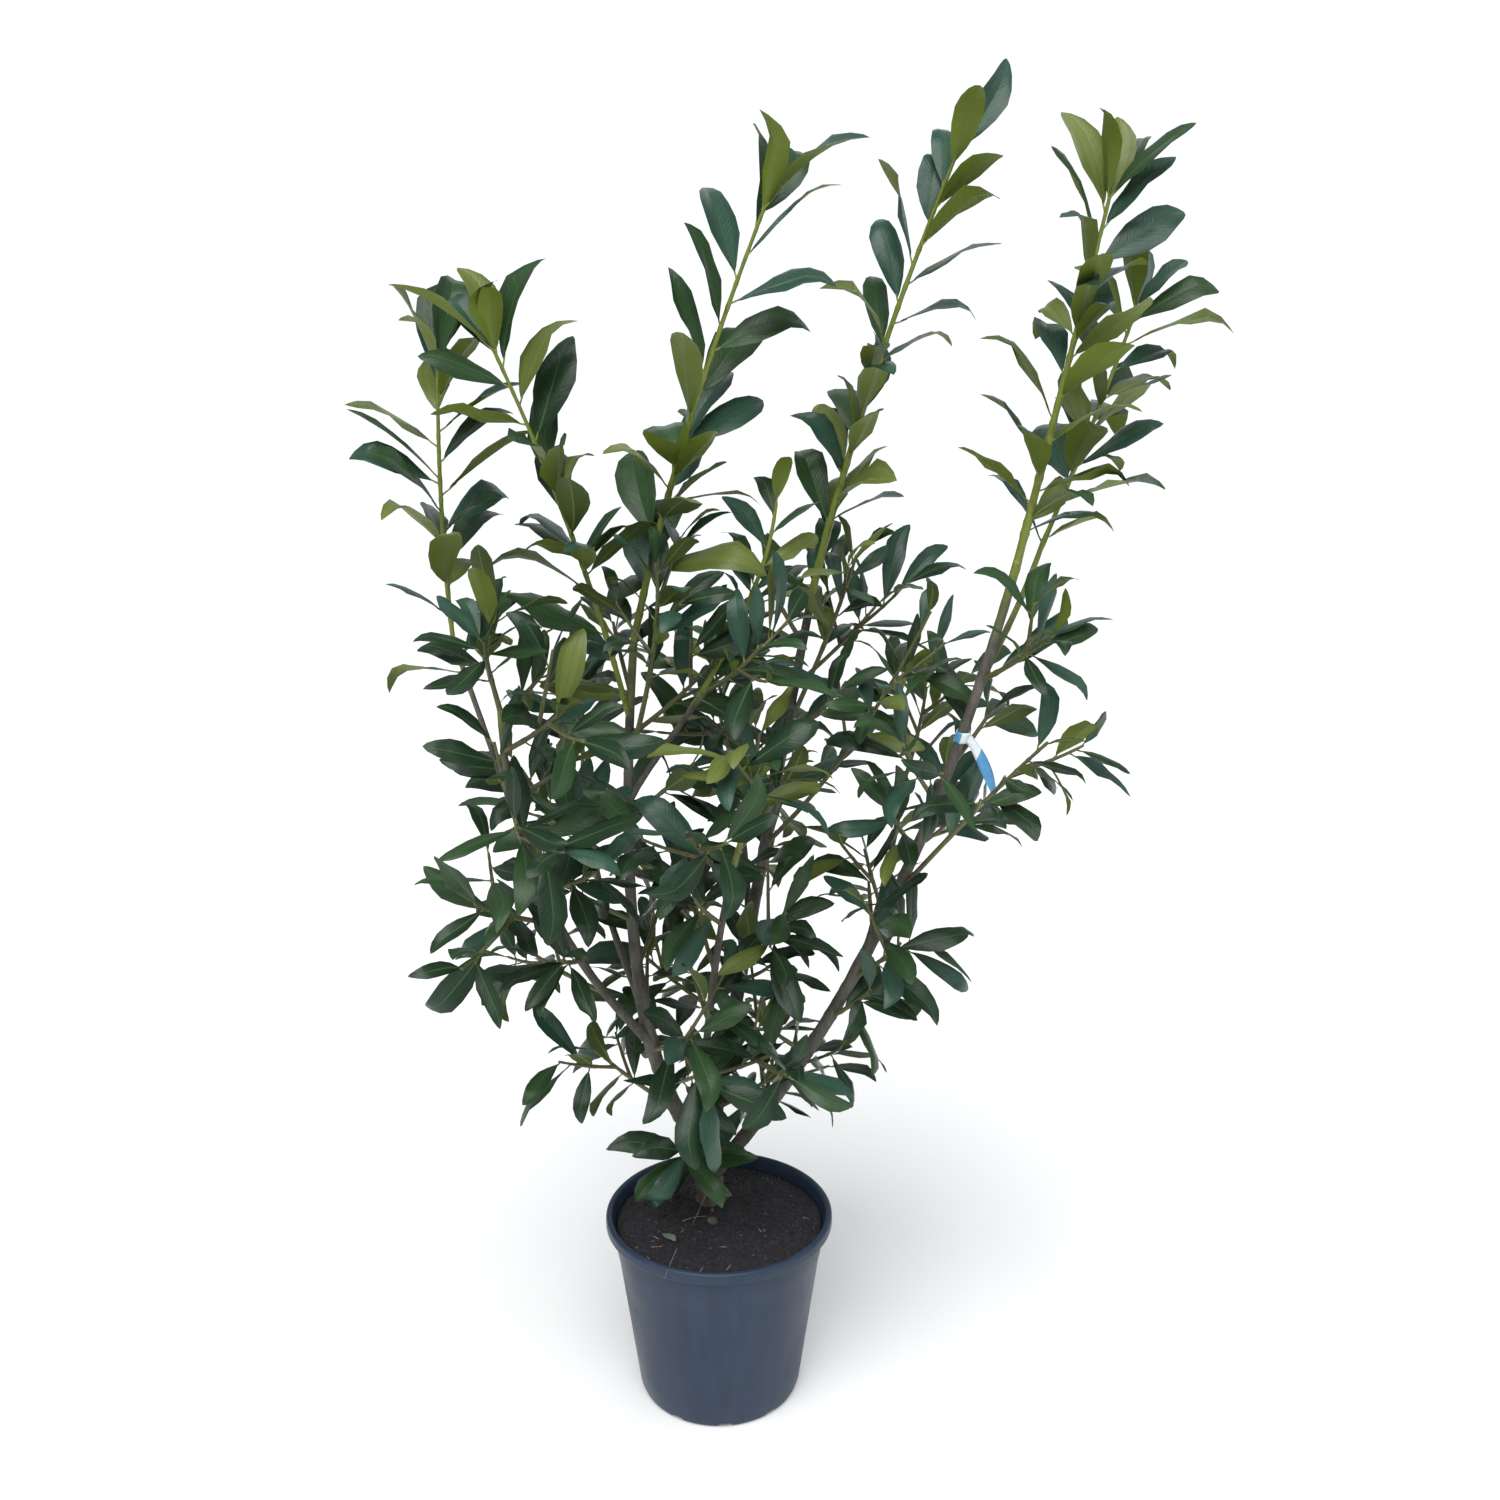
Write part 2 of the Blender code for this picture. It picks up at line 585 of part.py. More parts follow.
def shells(work):
    """The faces of each separate shell."""
    left = set(work.faces)
    found = []
    while left:
        queue = [left.pop()]
        shell = []
        while queue:
            face = queue.pop()
            shell.append(face)
            for edge in face.edges:
                for other in edge.link_faces:
                    if other in left:
                        left.discard(other)
                        queue.append(other)
        found.append(shell)
    return found


def shell_volume(shell):
    """Six times the space inside a shell, below zero where its faces look inwards."""
    total = 0.0
    for face in shell:
        first = face.verts[0].co
        for second, third in zip(face.verts[1:-1], face.verts[2:]):
            total += first.dot(second.co.cross(third.co))
    return total


def is_closed(work):
    return bool(work.faces) and all(edge.is_manifold for edge in work.edges)


def settled(obj):
    """Keeps the largest shell, so loose scraps go and a sealed hollow is filled. Says if it is closed."""
    work = bmesh.new()
    work.from_mesh(obj.data)
    for reach in (1e-7, 1e-6, 5e-6):
        if is_closed(work):
            break
        bmesh.ops.remove_doubles(work, verts=work.verts, dist=reach)
        bmesh.ops.dissolve_degenerate(work, edges=work.edges, dist=reach)
    found = sorted(shells(work), key=shell_volume, reverse=True)
    for shell in found[1:]:
        bmesh.ops.delete(work, geom=shell, context="FACES")
    closed = is_closed(work)
    work.to_mesh(obj.data)
    work.free()
    return closed


def combine(obj, operation, solver, other=None, group=None):
    step = obj.modifiers.new(operation.lower(), "BOOLEAN")
    step.operation = operation
    step.solver = solver
    if group:
        step.operand_type = "COLLECTION"
        step.collection = group
    else:
        step.object = other
    applied(obj)


def cut_clear(obj, other):
    """Cuts one solid clear of another, and says whether that worked."""
    whole = obj.data.copy()
    for solver in ("EXACT", "MANIFOLD"):
        combine(obj, "DIFFERENCE", solver, other)
        if settled(obj):
            return True
        obj.data = whole.copy()
    return False


def leaf_object(name, leaf, group):
    work = bmesh.new()
    bmesh.ops.create_uvsphere(work, u_segments=4, v_segments=2, radius=1)
    for vertex, place in zip(work.verts, leaf_corners(leaf)):
        vertex.co = place
    return mesh_object(name, work, group)


def build_mass(mass, twigs, leaves, shell, guide, group):
    """One mass: its stem, side twigs and leaves joined in one union, then cut clear of the limb it grows on."""
    radius = mass.radius
    stations = SIDE_STATIONS if mass.radius == SIDE_RADIUS else STEM_STATIONS
    for solver, keep_every in (("EXACT", 0), ("MANIFOLD", 0), ("EXACT", 4), ("MANIFOLD", 3)):
        stem = tube(mass.name, arc_tube(mass.arc, stations, radius, STEM_TIP_RADIUS), guide, group)
        pieces = bpy.data.collections.new("pieces_of_" + mass.name)
        bpy.context.scene.collection.children.link(pieces)
        for index, twig in enumerate(twigs):
            tube(f"twig_{index}", twig, guide, pieces)
        for index, leaf in enumerate(leaves):
            if not keep_every or index % keep_every:
                leaf_object(f"leaf_{index}", leaf, pieces)
        combine(stem, "UNION", solver, group=pieces)
        remove(pieces.objects)
        bpy.data.collections.remove(pieces)
        if settled(stem) and cut_clear(stem, shell):
            return stem
        remove([stem])
    raise RuntimeError(mass.name + " can't be joined")


def cut_foot(obj):
    """Cuts the trunk's foot flat at the soil."""
    work = bmesh.new()
    work.from_mesh(obj.data)
    geometry = list(work.verts) + list(work.edges) + list(work.faces)
    level = Vector((0, 0, SOIL_LEVEL + GAP))
    bmesh.ops.bisect_plane(work, geom=geometry, plane_co=level, plane_no=UP, clear_inner=True)
    bmesh.ops.holes_fill(work, edges=[edge for edge in work.edges if edge.is_boundary])
    bmesh.ops.recalc_face_normals(work, faces=work.faces)
    work.to_mesh(obj.data)
    work.free()


def build_limbs(arcs, guide, group, helpers, bark):
    """The trunk and boughs, each cut clear of those before it, and for each a larger copy to cut with."""
    shells_of = {}
    for limb in LIMBS:
        arc = arcs[limb.name]
        twig = limb_tube(limb, arc)
        larger = limb_tube(limb, arc, GAP)
        if limb is TRUNK:
            for line in (twig, larger):
                line.points.insert(0, line.points[0] - UP * 0.02)
                line.radii.insert(0, line.radii[0] * 1.04)
        obj = tube(limb.name, twig, guide, group)
        if limb is TRUNK:
            cut_foot(obj)
        shell = tube(limb.name + "_clearance", larger, guide, helpers)
        shell.hide_render = True
        shell.display_type = "WIRE"
        for other, cutter in shells_of.items():
            if touches(obj, cutter):
                cut_clear(obj, cutter)
        shells_of[limb.name] = shell
        keep(obj, group, bark)
    return shells_of


def touches(one, other):
    trees = []
    for obj in (one, other):
        work = bmesh.new()
        work.from_mesh(obj.data)
        trees.append(BVHTree.FromBMesh(work))
        work.free()
    return bool(trees[0].overlap(trees[1]))


def turned(name, profile, group):
    """A body turned round Z from a profile that runs from the axis, over the top and down to the axis again."""
    work = bmesh.new()
    points = [work.verts.new((radius, 0, height)) for radius, height in profile]
    for first, second in zip(points[:-1], points[1:]):
        work.edges.new((first, second))
    obj = mesh_object(name, work, group)
    turn = obj.modifiers.new("turn", "SCREW")
    turn.axis = "Z"
    turn.angle = 2 * math.pi
    turn.steps = POT_STEPS
    turn.render_steps = POT_STEPS
    turn.use_merge_vertices = True
    turn.merge_threshold = 1e-5
    turn.use_smooth_shade = False
    return obj


def wall_radius(height):
    """The pot's outer radius in its tapering part."""
    low = FOOT_ROUND * 2
    top = POT_HEIGHT - COLLAR_DROP - 0.003
    return BASE_RADIUS + (BODY_TOP_RADIUS - COLLAR_STEP - BASE_RADIUS) * (height - low) / (top - low)


def pot_profile():
    step = POT_HEIGHT - COLLAR_DROP
    lip = POT_HEIGHT - RIM_DROP
    neck = RIM_RADIUS - RIM_OVERHANG
    inner = [(0, WALL), (wall_radius(WALL) - WALL - 0.004, WALL), (wall_radius(0.010) - WALL, 0.010),
             (wall_radius(step) - WALL, step), (BODY_TOP_RADIUS - WALL + 0.001, step + 0.008),
             (neck - WALL, lip), (RIM_RADIUS - 0.0085, POT_HEIGHT - 0.003), (RIM_RADIUS - 0.0070, POT_HEIGHT)]
    outer = [(RIM_RADIUS - 0.0015, POT_HEIGHT), (RIM_RADIUS, POT_HEIGHT - 0.002), (RIM_RADIUS, lip + 0.002),
             (RIM_RADIUS - 0.0015, lip), (neck, lip - 0.0015), (BODY_TOP_RADIUS, step + 0.002),
             (wall_radius(step - 0.003), step - 0.003), (wall_radius(2 * FOOT_ROUND), 2 * FOOT_ROUND),
             (wall_radius(FOOT_ROUND) - 0.0008, FOOT_ROUND * 0.5), (wall_radius(0) - FOOT_ROUND * 0.6, 0), (0, 0)]
    return inner, outer


def build_pot(group, helpers):
    inner, outer = pot_profile()
    pot = turned("pot", inner + outer, group)
    slots = bpy.data.collections.new("drain_slots")
    helpers.children.link(slots)
    for index in range(DRAIN_SLOTS):
        turn = SLOT_PHASE + 2 * math.pi * index / DRAIN_SLOTS
        out = Vector((math.cos(turn), math.sin(turn), 0))
        work = bmesh.new()
        bmesh.ops.create_cube(work, size=1)
        bmesh.ops.scale(work, vec=(0.026, SLOT_WIDTH, 2 * SLOT_HEIGHT), verts=work.verts)
        bmesh.ops.rotate(work, matrix=Matrix.Rotation(turn, 3, "Z"), verts=work.verts)
        bmesh.ops.translate(work, vec=out * (BASE_RADIUS + 0.003), verts=work.verts)
        slot = mesh_object(f"drain_slot_{index}", work, slots)
        slot.hide_render = True
        slot.display_type = "WIRE"
    cut = pot.modifiers.new("drain_slots", "BOOLEAN")
    cut.operation = "DIFFERENCE"
    cut.solver = "EXACT"
    cut.operand_type = "COLLECTION"
    cut.collection = slots
    return pot


def build_soil(group):
    """The soil follows the pot's inside and stays clear of it by the gap."""
    inner, _ = pot_profile()
    neck = RIM_RADIUS - RIM_OVERHANG - WALL
    edge = SOIL_LEVEL - SOIL_EDGE_DROP
    step_up = inner[4]
    at_edge = step_up[0] + (neck - step_up[0]) * (edge - step_up[1]) / (inner[5][1] - step_up[1])
    profile = [(0, SOIL_LEVEL), (SOIL_FLAT_RADIUS, SOIL_LEVEL), (at_edge - 2 * GAP, edge)]
    profile += [(radius - 2 * GAP, height) for radius, height in reversed(inner[1:5])]
    profile[-1] = (profile[-1][0], WALL + GAP)
    profile.append((0, WALL + GAP))
    return turned("soil", profile, group)


def build_tag(arcs, group, helpers):
    """The plain label: a band looped round the right bough, and a strip that hangs from it."""
    centre, tangent, side, radius = tag_seat(arcs)
    band = bmesh.new()
    bmesh.ops.create_cone(band, cap_ends=False, segments=16, radius1=radius, radius2=radius, depth=TAG_WIDTH)
    turn = UP.rotation_difference(tangent).to_matrix().to_4x4()
    bmesh.ops.transform(band, matrix=Matrix.Translation(centre) @ turn, verts=band.verts)
    loop = mesh_object("stem_tag", band, group)
    thick = loop.modifiers.new("thick", "SOLIDIFY")
    thick.thickness = TAG_THICKNESS
    thick.offset = 1
    applied(loop)
    strip = bmesh.new()
    bmesh.ops.create_grid(strip, x_segments=1, y_segments=6, size=0.5)
    across = tangent.cross(side).normalized()
    for vertex in strip.verts:
        share = vertex.co.y + 0.5
        flat = tangent * (1 - share) + across * share
        vertex.co = tag_point(arcs, share) + flat.normalized() * (vertex.co.x * TAG_WIDTH)
    tail = mesh_object("tag_strip", strip, helpers)
    thick = tail.modifiers.new("thick", "SOLIDIFY")
    thick.thickness = TAG_THICKNESS * 0.9
    thick.offset = 0
    applied(tail)
    combine(loop, "UNION", "EXACT", tail)
    remove([tail])
    settled(loop)
    return loop


def main():
    remove(bpy.data.objects)
    plant = bpy.data.collections.new("potted_cherry_laurel")
    helpers = bpy.data.collections.new("cutters_and_guides")
    bpy.context.scene.collection.children.link(plant)
    bpy.context.scene.collection.children.link(helpers)
    round_section = section(LIMB_SIDES, helpers)
    twig_section = section(TWIG_SIDES, helpers)
    arcs, grown = grow_crown()
    clearances = build_limbs(arcs, round_section, plant, helpers, material("bark", (0.13, 0.11, 0.09), 0.8))
    for mass, twigs, leaves in grown:
        shell = clearances[mass.parent]
        obj = build_mass(mass, twigs, leaves, shell, twig_section, plant)
        young = mass.bare and mass.arc.tip.z > 1.15
        colour = (0.060, 0.130, 0.060) if young else (0.028, 0.080, 0.055)
        keep(obj, plant, material("leaves_of_" + mass.name, colour, 0.35))
    keep(build_tag(arcs, plant, helpers), plant, material("tag_film", (0.10, 0.42, 0.70), 0.35))
    keep(build_pot(plant, helpers), plant, material("dark_pot_plastic", (0.040, 0.052, 0.070), 0.45))
    keep(build_soil(plant), plant, material("moist_soil", (0.020, 0.014, 0.011), 0.95))
    print("leaves:", sum(len(leaves) for _, _, leaves in grown), "masses:", len(grown))


if __name__ == "__main__":
    main()
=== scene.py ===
"""The potted cherry laurel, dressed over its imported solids: pot, soil, bark, twigs, leaves and label."""

import functools
import json
import math
import random
from collections import namedtuple

import bmesh
import bpy
import numpy as np
from bpy.props import FloatProperty, FloatVectorProperty, IntProperty, PointerProperty
from bpy.types import Operator, Panel, PropertyGroup
from mathutils import Matrix, Vector, noise
from mathutils.bvhtree import BVHTree

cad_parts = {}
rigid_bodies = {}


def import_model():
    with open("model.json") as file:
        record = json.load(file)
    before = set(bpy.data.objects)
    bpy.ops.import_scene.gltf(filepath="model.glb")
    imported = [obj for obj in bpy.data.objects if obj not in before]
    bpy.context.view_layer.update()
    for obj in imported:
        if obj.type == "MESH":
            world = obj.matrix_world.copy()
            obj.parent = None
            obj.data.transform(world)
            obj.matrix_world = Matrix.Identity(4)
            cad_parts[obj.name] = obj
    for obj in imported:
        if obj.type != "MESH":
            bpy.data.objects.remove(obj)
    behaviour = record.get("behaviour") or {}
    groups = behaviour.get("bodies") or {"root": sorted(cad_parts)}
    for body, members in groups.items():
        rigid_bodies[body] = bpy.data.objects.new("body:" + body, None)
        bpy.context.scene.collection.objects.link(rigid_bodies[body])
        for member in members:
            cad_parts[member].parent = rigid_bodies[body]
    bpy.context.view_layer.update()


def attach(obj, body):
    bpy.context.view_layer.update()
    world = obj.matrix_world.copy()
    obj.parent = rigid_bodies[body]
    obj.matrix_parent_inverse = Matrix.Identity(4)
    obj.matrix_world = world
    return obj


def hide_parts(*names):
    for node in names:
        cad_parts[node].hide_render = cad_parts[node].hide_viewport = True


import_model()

bl_info = {
    "name": "Potted Cherry Laurel",
    "version": (1, 0, 0),
    "blender": (4, 5, 0),
    "location": "3D View > Sidebar > Laurel",
    "description": "Builds a many-stemmed cherry laurel in a round nursery pot",
    "category": "Add Mesh",
}

# Sizes shared with the solids.

# The pot: a 12 litre nursery container with a rolled rim, a collar and drain slots round its foot.
POT_HEIGHT = 0.253
RIM_RADIUS = 0.150
RIM_DROP = 0.015
RIM_OVERHANG = 0.010
COLLAR_DROP = 0.050
COLLAR_STEP = 0.0022
BODY_TOP_RADIUS = 0.1365
BASE_RADIUS = 0.1085
FOOT_ROUND = 0.006
WALL = 0.003
DRAIN_SLOTS = 10
SLOT_WIDTH = 0.018
SLOT_HEIGHT = 0.006
SLOT_PHASE = math.radians(-13)

# The soil fills the pot to just below the rim.
SOIL_LEVEL = 0.241
SOIL_EDGE_DROP = 0.005
SOIL_FLAT_RADIUS = 0.075

# Pieces that touch keep this gap, and a leaf or twig keeps the larger one to what it only passes.
GAP = 0.0003
PASSING_GAP = 0.0012
# What grows stays this far over the soil or the rim, and counts as inside the rim only this far from its wall.
POT_CLEARANCE = 0.006
RIM_CLEARANCE = 0.012

LIMB_SIDES = 8
LIMB_STATIONS = 8
TWIG_SIDES = 3
UP = Vector((0, 0, 1))
# The blades turn towards the light, which comes from above and in front.
LIGHT = Vector((0.08, -0.38, 0.75))

# One leaf: length over width, thickness over length, how far the middle stands over the chord.
LEAF_SLIMNESS = 3.1
LEAF_THICKNESS = 0.022
LEAF_MIDDLE = 0.52
# A four-cornered leaf is drawn wider than a rounded one, so that both cover as much.
LEAF_CORNER_GAIN = 1.28
# The share of a leaf next to its twig that the clearance test leaves out.
LEAF_ROOT = 0.16
LEAF_TRIES = 5
# A side stem tries this many seats: to both sides in turn, by these degrees more each time.
SEAT_TRIES = 21
SEAT_SWING = 17
# How far down its limb a seat may slide at each of two tries in three, as a share of the limb.
SEAT_SLIDE = 0.035
# How much the blade's halves fold up, as a share of its width, and how far it rolls either way, in degrees.
LEAF_FOLD = 0.10
LEAF_ROLL = 38
# How far a leaf's foot is sunk behind its twig's axis.
LEAF_SINK = 0.0007
# Leaves droop below this height, and fully so this far below it. Each also strays a little from its way.
DROOP_TOP = 1.05
DROOP_DEPTH = 0.5
LEAF_DROOP = 0.55
LEAF_STRAY = 0.10

# Stems and twigs of the masses. A leader that goes on from a limb's tip is nearly as thick, up to a limit.
STEM_STATIONS = 6
SIDE_STATIONS = 3
TWIG_STATIONS = 2
STEM_TIP_RADIUS = 0.0022
LEADER_RADIUS = 0.0036
LEADER_RADIUS_LIMIT = 0.0052
SIDE_RADIUS = 0.0034
TWIG_RADIUS = 0.0028
SIDE_LEAVES = 5
SIDE_LEAF_LENGTH = 0.118
SIDE_SLOPE = 56
SIDE_TWIGS = 2
SIDE_TWIG_LENGTH = 0.085
TWIG_LEAVES = 3
# Side twigs leave the stem over this span of it, at these slopes in degrees.
TWIG_FROM = 0.42
TWIG_SPAN = 0.40
TWIG_SLOPES = (42, 58)
# The share without leaves of a mass's stem, of a long bare shoot and of a twig.
BARE_STEM = 0.30
BARE_SHOOT = 0.10
BARE_TWIG = 0.22
# Leaves stand in two loose ranks on a long bare shoot, and in a spiral elsewhere, in degrees from leaf to leaf.
TWO_RANKS = 166
SPIRAL = 137.5

# The plain label that hangs from a loop round one bough.
TAG_LIMB = "right_bough"
TAG_WHERE = 0.79
TAG_WIDTH = 0.014
TAG_LENGTH = 0.080
TAG_THICKNESS = 0.0012
TAG_TURN = -30
TAG_SLACK = 0.0004
TAG_SIDES = 6
# Nothing grows within this radius in front of the label, which shows whole: the way to the eye, and how far.
TAG_SIGHT = Vector((-0.16, -0.95, 0.25))
SIGHT_RADIUS = 0.034
SIGHT_LENGTH = 0.35

# This seed, the angle of the two ranks and all but one of the leaders' first turns were picked by a search that
# scored the growth against the photo, which report.md lists as a broken rule.
GROWTH_SEED = 4168

Arc = namedtuple("Arc", "foot bend tip")
Limb = namedtuple("Limb", "name parent where bend tip foot_radius tip_radius")
# A leader is a mass whose stem is given by its bend and tip; `where` is its place along the parent.
Leader = namedtuple(
    "Leader", "name parent where bend tip leaves leaf_length slope first_turn twigs twig_length"
)
# A row of side masses leaves one limb at even steps, each turned on from the last.
Row = namedtuple("Row", "name parent count start end length first_turn step_turn rise")
Mass = namedtuple(
    "Mass", "name parent arc radius leaves leaf_length slope turn first_turn twigs twig_length bare seed"
)
Twig = namedtuple("Twig", "points radii")
Leaf = namedtuple("Leaf", "base along face length width arch")

TRUNK = Limb("trunk", None, 0, (-0.016, 0.037, 0.290), (-0.033, 0.028, 0.345), 0.0165, 0.0125)
TRUNK_FOOT = Vector((-0.011, 0.041, SOIL_LEVEL + GAP))
TRUNK_FLARE = 0.45

LIMBS = (
    TRUNK,
    Limb("left_bough", "trunk", 1, (-0.14, 0, 0.5), (-0.099, 0, 1.016), 0.011, 0.0048),
    Limb("centre_bough", "trunk", 0.5, (0.055, 0.146, 0.68), (0.12, 0.108, 1.06), 0.0105, 0.0052),
    Limb("right_bough", "trunk", 0.35, (0.236, 0.01, 0.586), (0.35, -0.05, 1.117), 0.01, 0.0052),
    Limb("front_bough", "trunk", 0.8, (-0.008, -0.075, 0.66), (0.031, -0.12, 0.801), 0.0056, 0.0036),
    Limb("outer_left_bough", "left_bough", 0.33, (-0.235, -0.135, 0.714), (-0.238, -0.14, 0.96), 0.006, 0.0035),
    Limb("far_left_bough", "outer_left_bough", 0.58, (-0.26, -0.06, 0.88), (-0.314, -0.015, 1.02), 0.004,
         0.003),
    Limb("inner_bough", "left_bough", 0.79, (-0.06, -0.01, 0.895), (-0.01, -0.055, 0.965), 0.0042, 0.003),
    Limb("right_fork_bough", "right_bough", 0.87, (0.358, -0.02, 1.05), (0.388, 0.01, 1.125), 0.0042, 0.0032),
    Limb("back_left_bough", "left_bough", 0.42, (-0.17, 0.13, 0.64), (-0.19, 0.19, 0.79), 0.0052, 0.0032),
    Limb("back_bough", "centre_bough", 0.4, (0.04, 0.23, 0.68), (0.01, 0.265, 0.82), 0.0052, 0.0032),
    Limb("back_right_bough", "right_bough", 0.45, (0.22, 0.11, 0.64), (0.255, 0.19, 0.8), 0.0052, 0.0032),
)

LEADERS = (
    Leader("left_shoot", "left_bough", 1, (-0.050, -0.025, 1.240), (0.057, -0.050, 1.500),
           16, 0.140, 52, 330, 0, 0),
    Leader("centre_shoot", "centre_bough", 1, (0.175, 0.085, 1.310), (0.276, 0.022, 1.570),
           20, 0.124, 48, 150, 0, 0),
    Leader("right_shoot", "right_bough", 1, (0.395, -0.055, 1.330), (0.430, -0.060, 1.510),
           16, 0.126, 52, 0, 0, 0),
    Leader("far_right_shoot", "right_fork_bough", 1, (0.450, 0.035, 1.270), (0.495, 0.050, 1.400),
           15, 0.128, 56, 330, 0, 0),
    Leader("far_left_shoot", "far_left_bough", 1, (-0.328, 0.000, 1.184), (-0.318, 0.000, 1.345),
           15, 0.130, 56, 270, 0, 0),
    Leader("inner_left_shoot", "left_bough", 0.90, (-0.150, -0.030, 1.130), (-0.240, -0.080, 1.350),
           17, 0.130, 56, 30, 0, 0),
    Leader("left_fork_head", "left_bough", 0.84, (-0.058, -0.055, 1.030), (-0.066, -0.075, 1.115),
           9, 0.105, 52, 100, 3, 0.07),
    Leader("outer_left_head", "outer_left_bough", 1, (-0.246, -0.148, 1.000), (-0.255, -0.152, 1.040),
           8, 0.110, 66, 240, 2, 0.07),
    Leader("front_head", "front_bough", 1, (0.042, -0.140, 0.855), (0.055, -0.152, 0.895),
           8, 0.115, 62, 30, 2, 0.07),
    Leader("inner_head", "inner_bough", 1, (0.030, -0.080, 0.990), (0.055, -0.092, 1.025),
           7, 0.105, 56, 210, 2, 0.06),
    Leader("inner_sprig", "inner_bough", 0.75, (0.064, 0.000, 1.080), (0.072, 0.010, 1.180),
           9, 0.085, 48, 60, 0, 0),
    Leader("centre_fork_shoot", "centre_bough", 0.76, (0.150, 0.100, 1.020), (0.174, 0.085, 1.110),
           8, 0.100, 54, 60, 2, 0.07),
    Leader("right_low_head", "right_bough", 0.56, (0.320, -0.070, 0.840), (0.382, -0.110, 0.915),
           8, 0.108, 60, 30, 3, 0.07),
    Leader("right_high_head", "right_bough", 0.86, (0.350, -0.090, 1.005), (0.380, -0.115, 1.040),
           7, 0.105, 60, 60, 1, 0.06),
    Leader("centre_right_sprig", "centre_bough", 0.56, (0.175, 0.040, 0.858), (0.256, -0.010, 1.052),
           10, 0.098, 54, 60, 3, 0.08),
    Leader("back_left_head", "back_left_bough", 1, (-0.190, 0.215, 0.830), (-0.190, 0.225, 0.890),
           8, 0.115, 56, 60, 2, 0.07),
    Leader("back_head", "back_bough", 1, (-0.005, 0.280, 0.870), (-0.015, 0.285, 0.940),
           8, 0.115, 56, 330, 2, 0.07),
    Leader("back_right_head", "back_right_bough", 1, (0.275, 0.220, 0.845), (0.285, 0.230, 0.915),
           8, 0.115, 58, 150, 2, 0.07),
    Leader("foot_sprig", "trunk", 0.62, (-0.045, -0.014, 0.345), (-0.045, -0.044, 0.362),
           8, 0.100, 64, 60, 0, 0),
)

ROWS = (
    Row("left_side", "left_bough", 5, 0.12, 0.88, 0.135, 160, 137, 26),
    Row("centre_side", "centre_bough", 6, 0.10, 0.84, 0.135, 20, 137, 26),
    Row("right_side", "right_bough", 5, 0.14, 0.70, 0.100, 40, 137, 36),
    Row("outer_left_side", "outer_left_bough", 4, 0.20, 0.90, 0.100, 165, 55, 16),
    Row("front_side", "front_bough", 3, 0.20, 0.82, 0.115, 330, 137, 26),
    Row("back_left_side", "back_left_bough", 1, 0.70, 0.70, 0.110, 140, 0, 26),
    Row("back_side", "back_bough", 1, 0.60, 0.60, 0.110, 60, 0, 26),
    Row("back_right_side", "back_right_bough", 1, 0.60, 0.60, 0.110, 20, 0, 26),
)


def point_on(arc, share):
    return arc.foot * (1 - share) ** 2 + arc.bend * (2 * share * (1 - share)) + arc.tip * share**2


def tangent_on(arc, share):
    return ((arc.bend - arc.foot) * (1 - share) + (arc.tip - arc.bend) * share).normalized()


def radial(tangent, turn):
    """The direction square to a tangent at this turn round it. On an upright stem turn 0 is +X and 90 is +Y."""
    reference = Vector((1, 0, 0)) if abs(tangent.x) < 0.8 else UP
    across = (reference - tangent * reference.dot(tangent)).normalized()
    return across * math.cos(math.radians(turn)) + tangent.cross(across) * math.sin(math.radians(turn))


def limb_arcs():
    """Each limb's arc. A limb starts on its parent's axis, and the trunk starts in the soil's surface."""
    arcs = {}
    for limb in LIMBS:
        foot = point_on(arcs[limb.parent], limb.where) if limb.parent else TRUNK_FOOT
        arcs[limb.name] = Arc(foot, Vector(limb.bend), Vector(limb.tip))
    return arcs


def limb_radius(limb, share):
    radius = limb.foot_radius + (limb.tip_radius - limb.foot_radius) * share
    if limb is TRUNK:
        radius *= 1 + TRUNK_FLARE * math.exp(-share / 0.14)
    return radius


def limb_named(name):
    return next(limb for limb in LIMBS if limb.name == name)


def limb_tube(limb, arc):
    shares = [step / LIMB_STATIONS for step in range(LIMB_STATIONS + 1)]
    return Twig([point_on(arc, share) for share in shares], [limb_radius(limb, share) for share in shares])


def arc_tube(arc, stations, foot_radius, tip_radius):
    points = [point_on(arc, step / stations) for step in range(stations + 1)]
    radii = [foot_radius + (tip_radius - foot_radius) * step / stations for step in range(stations + 1)]
    return Twig(points, radii)


def eight_faces():
    """The points and faces of a sphere of four segments and two rings, which every leaf is shaped from."""
    work = bmesh.new()
    bmesh.ops.create_uvsphere(work, u_segments=4, v_segments=2, radius=1)
    points = [vertex.co.copy() for vertex in work.verts]
    faces = [tuple(vertex.index for vertex in face.verts) for face in work.faces]
    work.free()
    return points, faces


LEAF_POINTS, LEAF_FACES = eight_faces()


def leaf_corners(leaf, root):
    """A leaf's six corners, half the passing gap outside it: foot and tip on the chord, the middle over it."""
    side = leaf.along.cross(leaf.face)
    extra = PASSING_GAP / 2
    corners = []
    for point in LEAF_POINTS:
        middle = abs(point.y) < 0.5
        share = LEAF_MIDDLE if middle else root if point.y < 0 else 1 + extra / leaf.length
        lift = leaf.arch * leaf.length if middle else 0
        lift += point.z * (leaf.length * LEAF_THICKNESS / 2 + extra) + abs(point.x) * LEAF_FOLD * leaf.width
        across = point.x * (leaf.width / 2 + extra)
        corners.append(leaf.base + leaf.along * (leaf.length * share) + side * across + leaf.face * lift)
    return corners


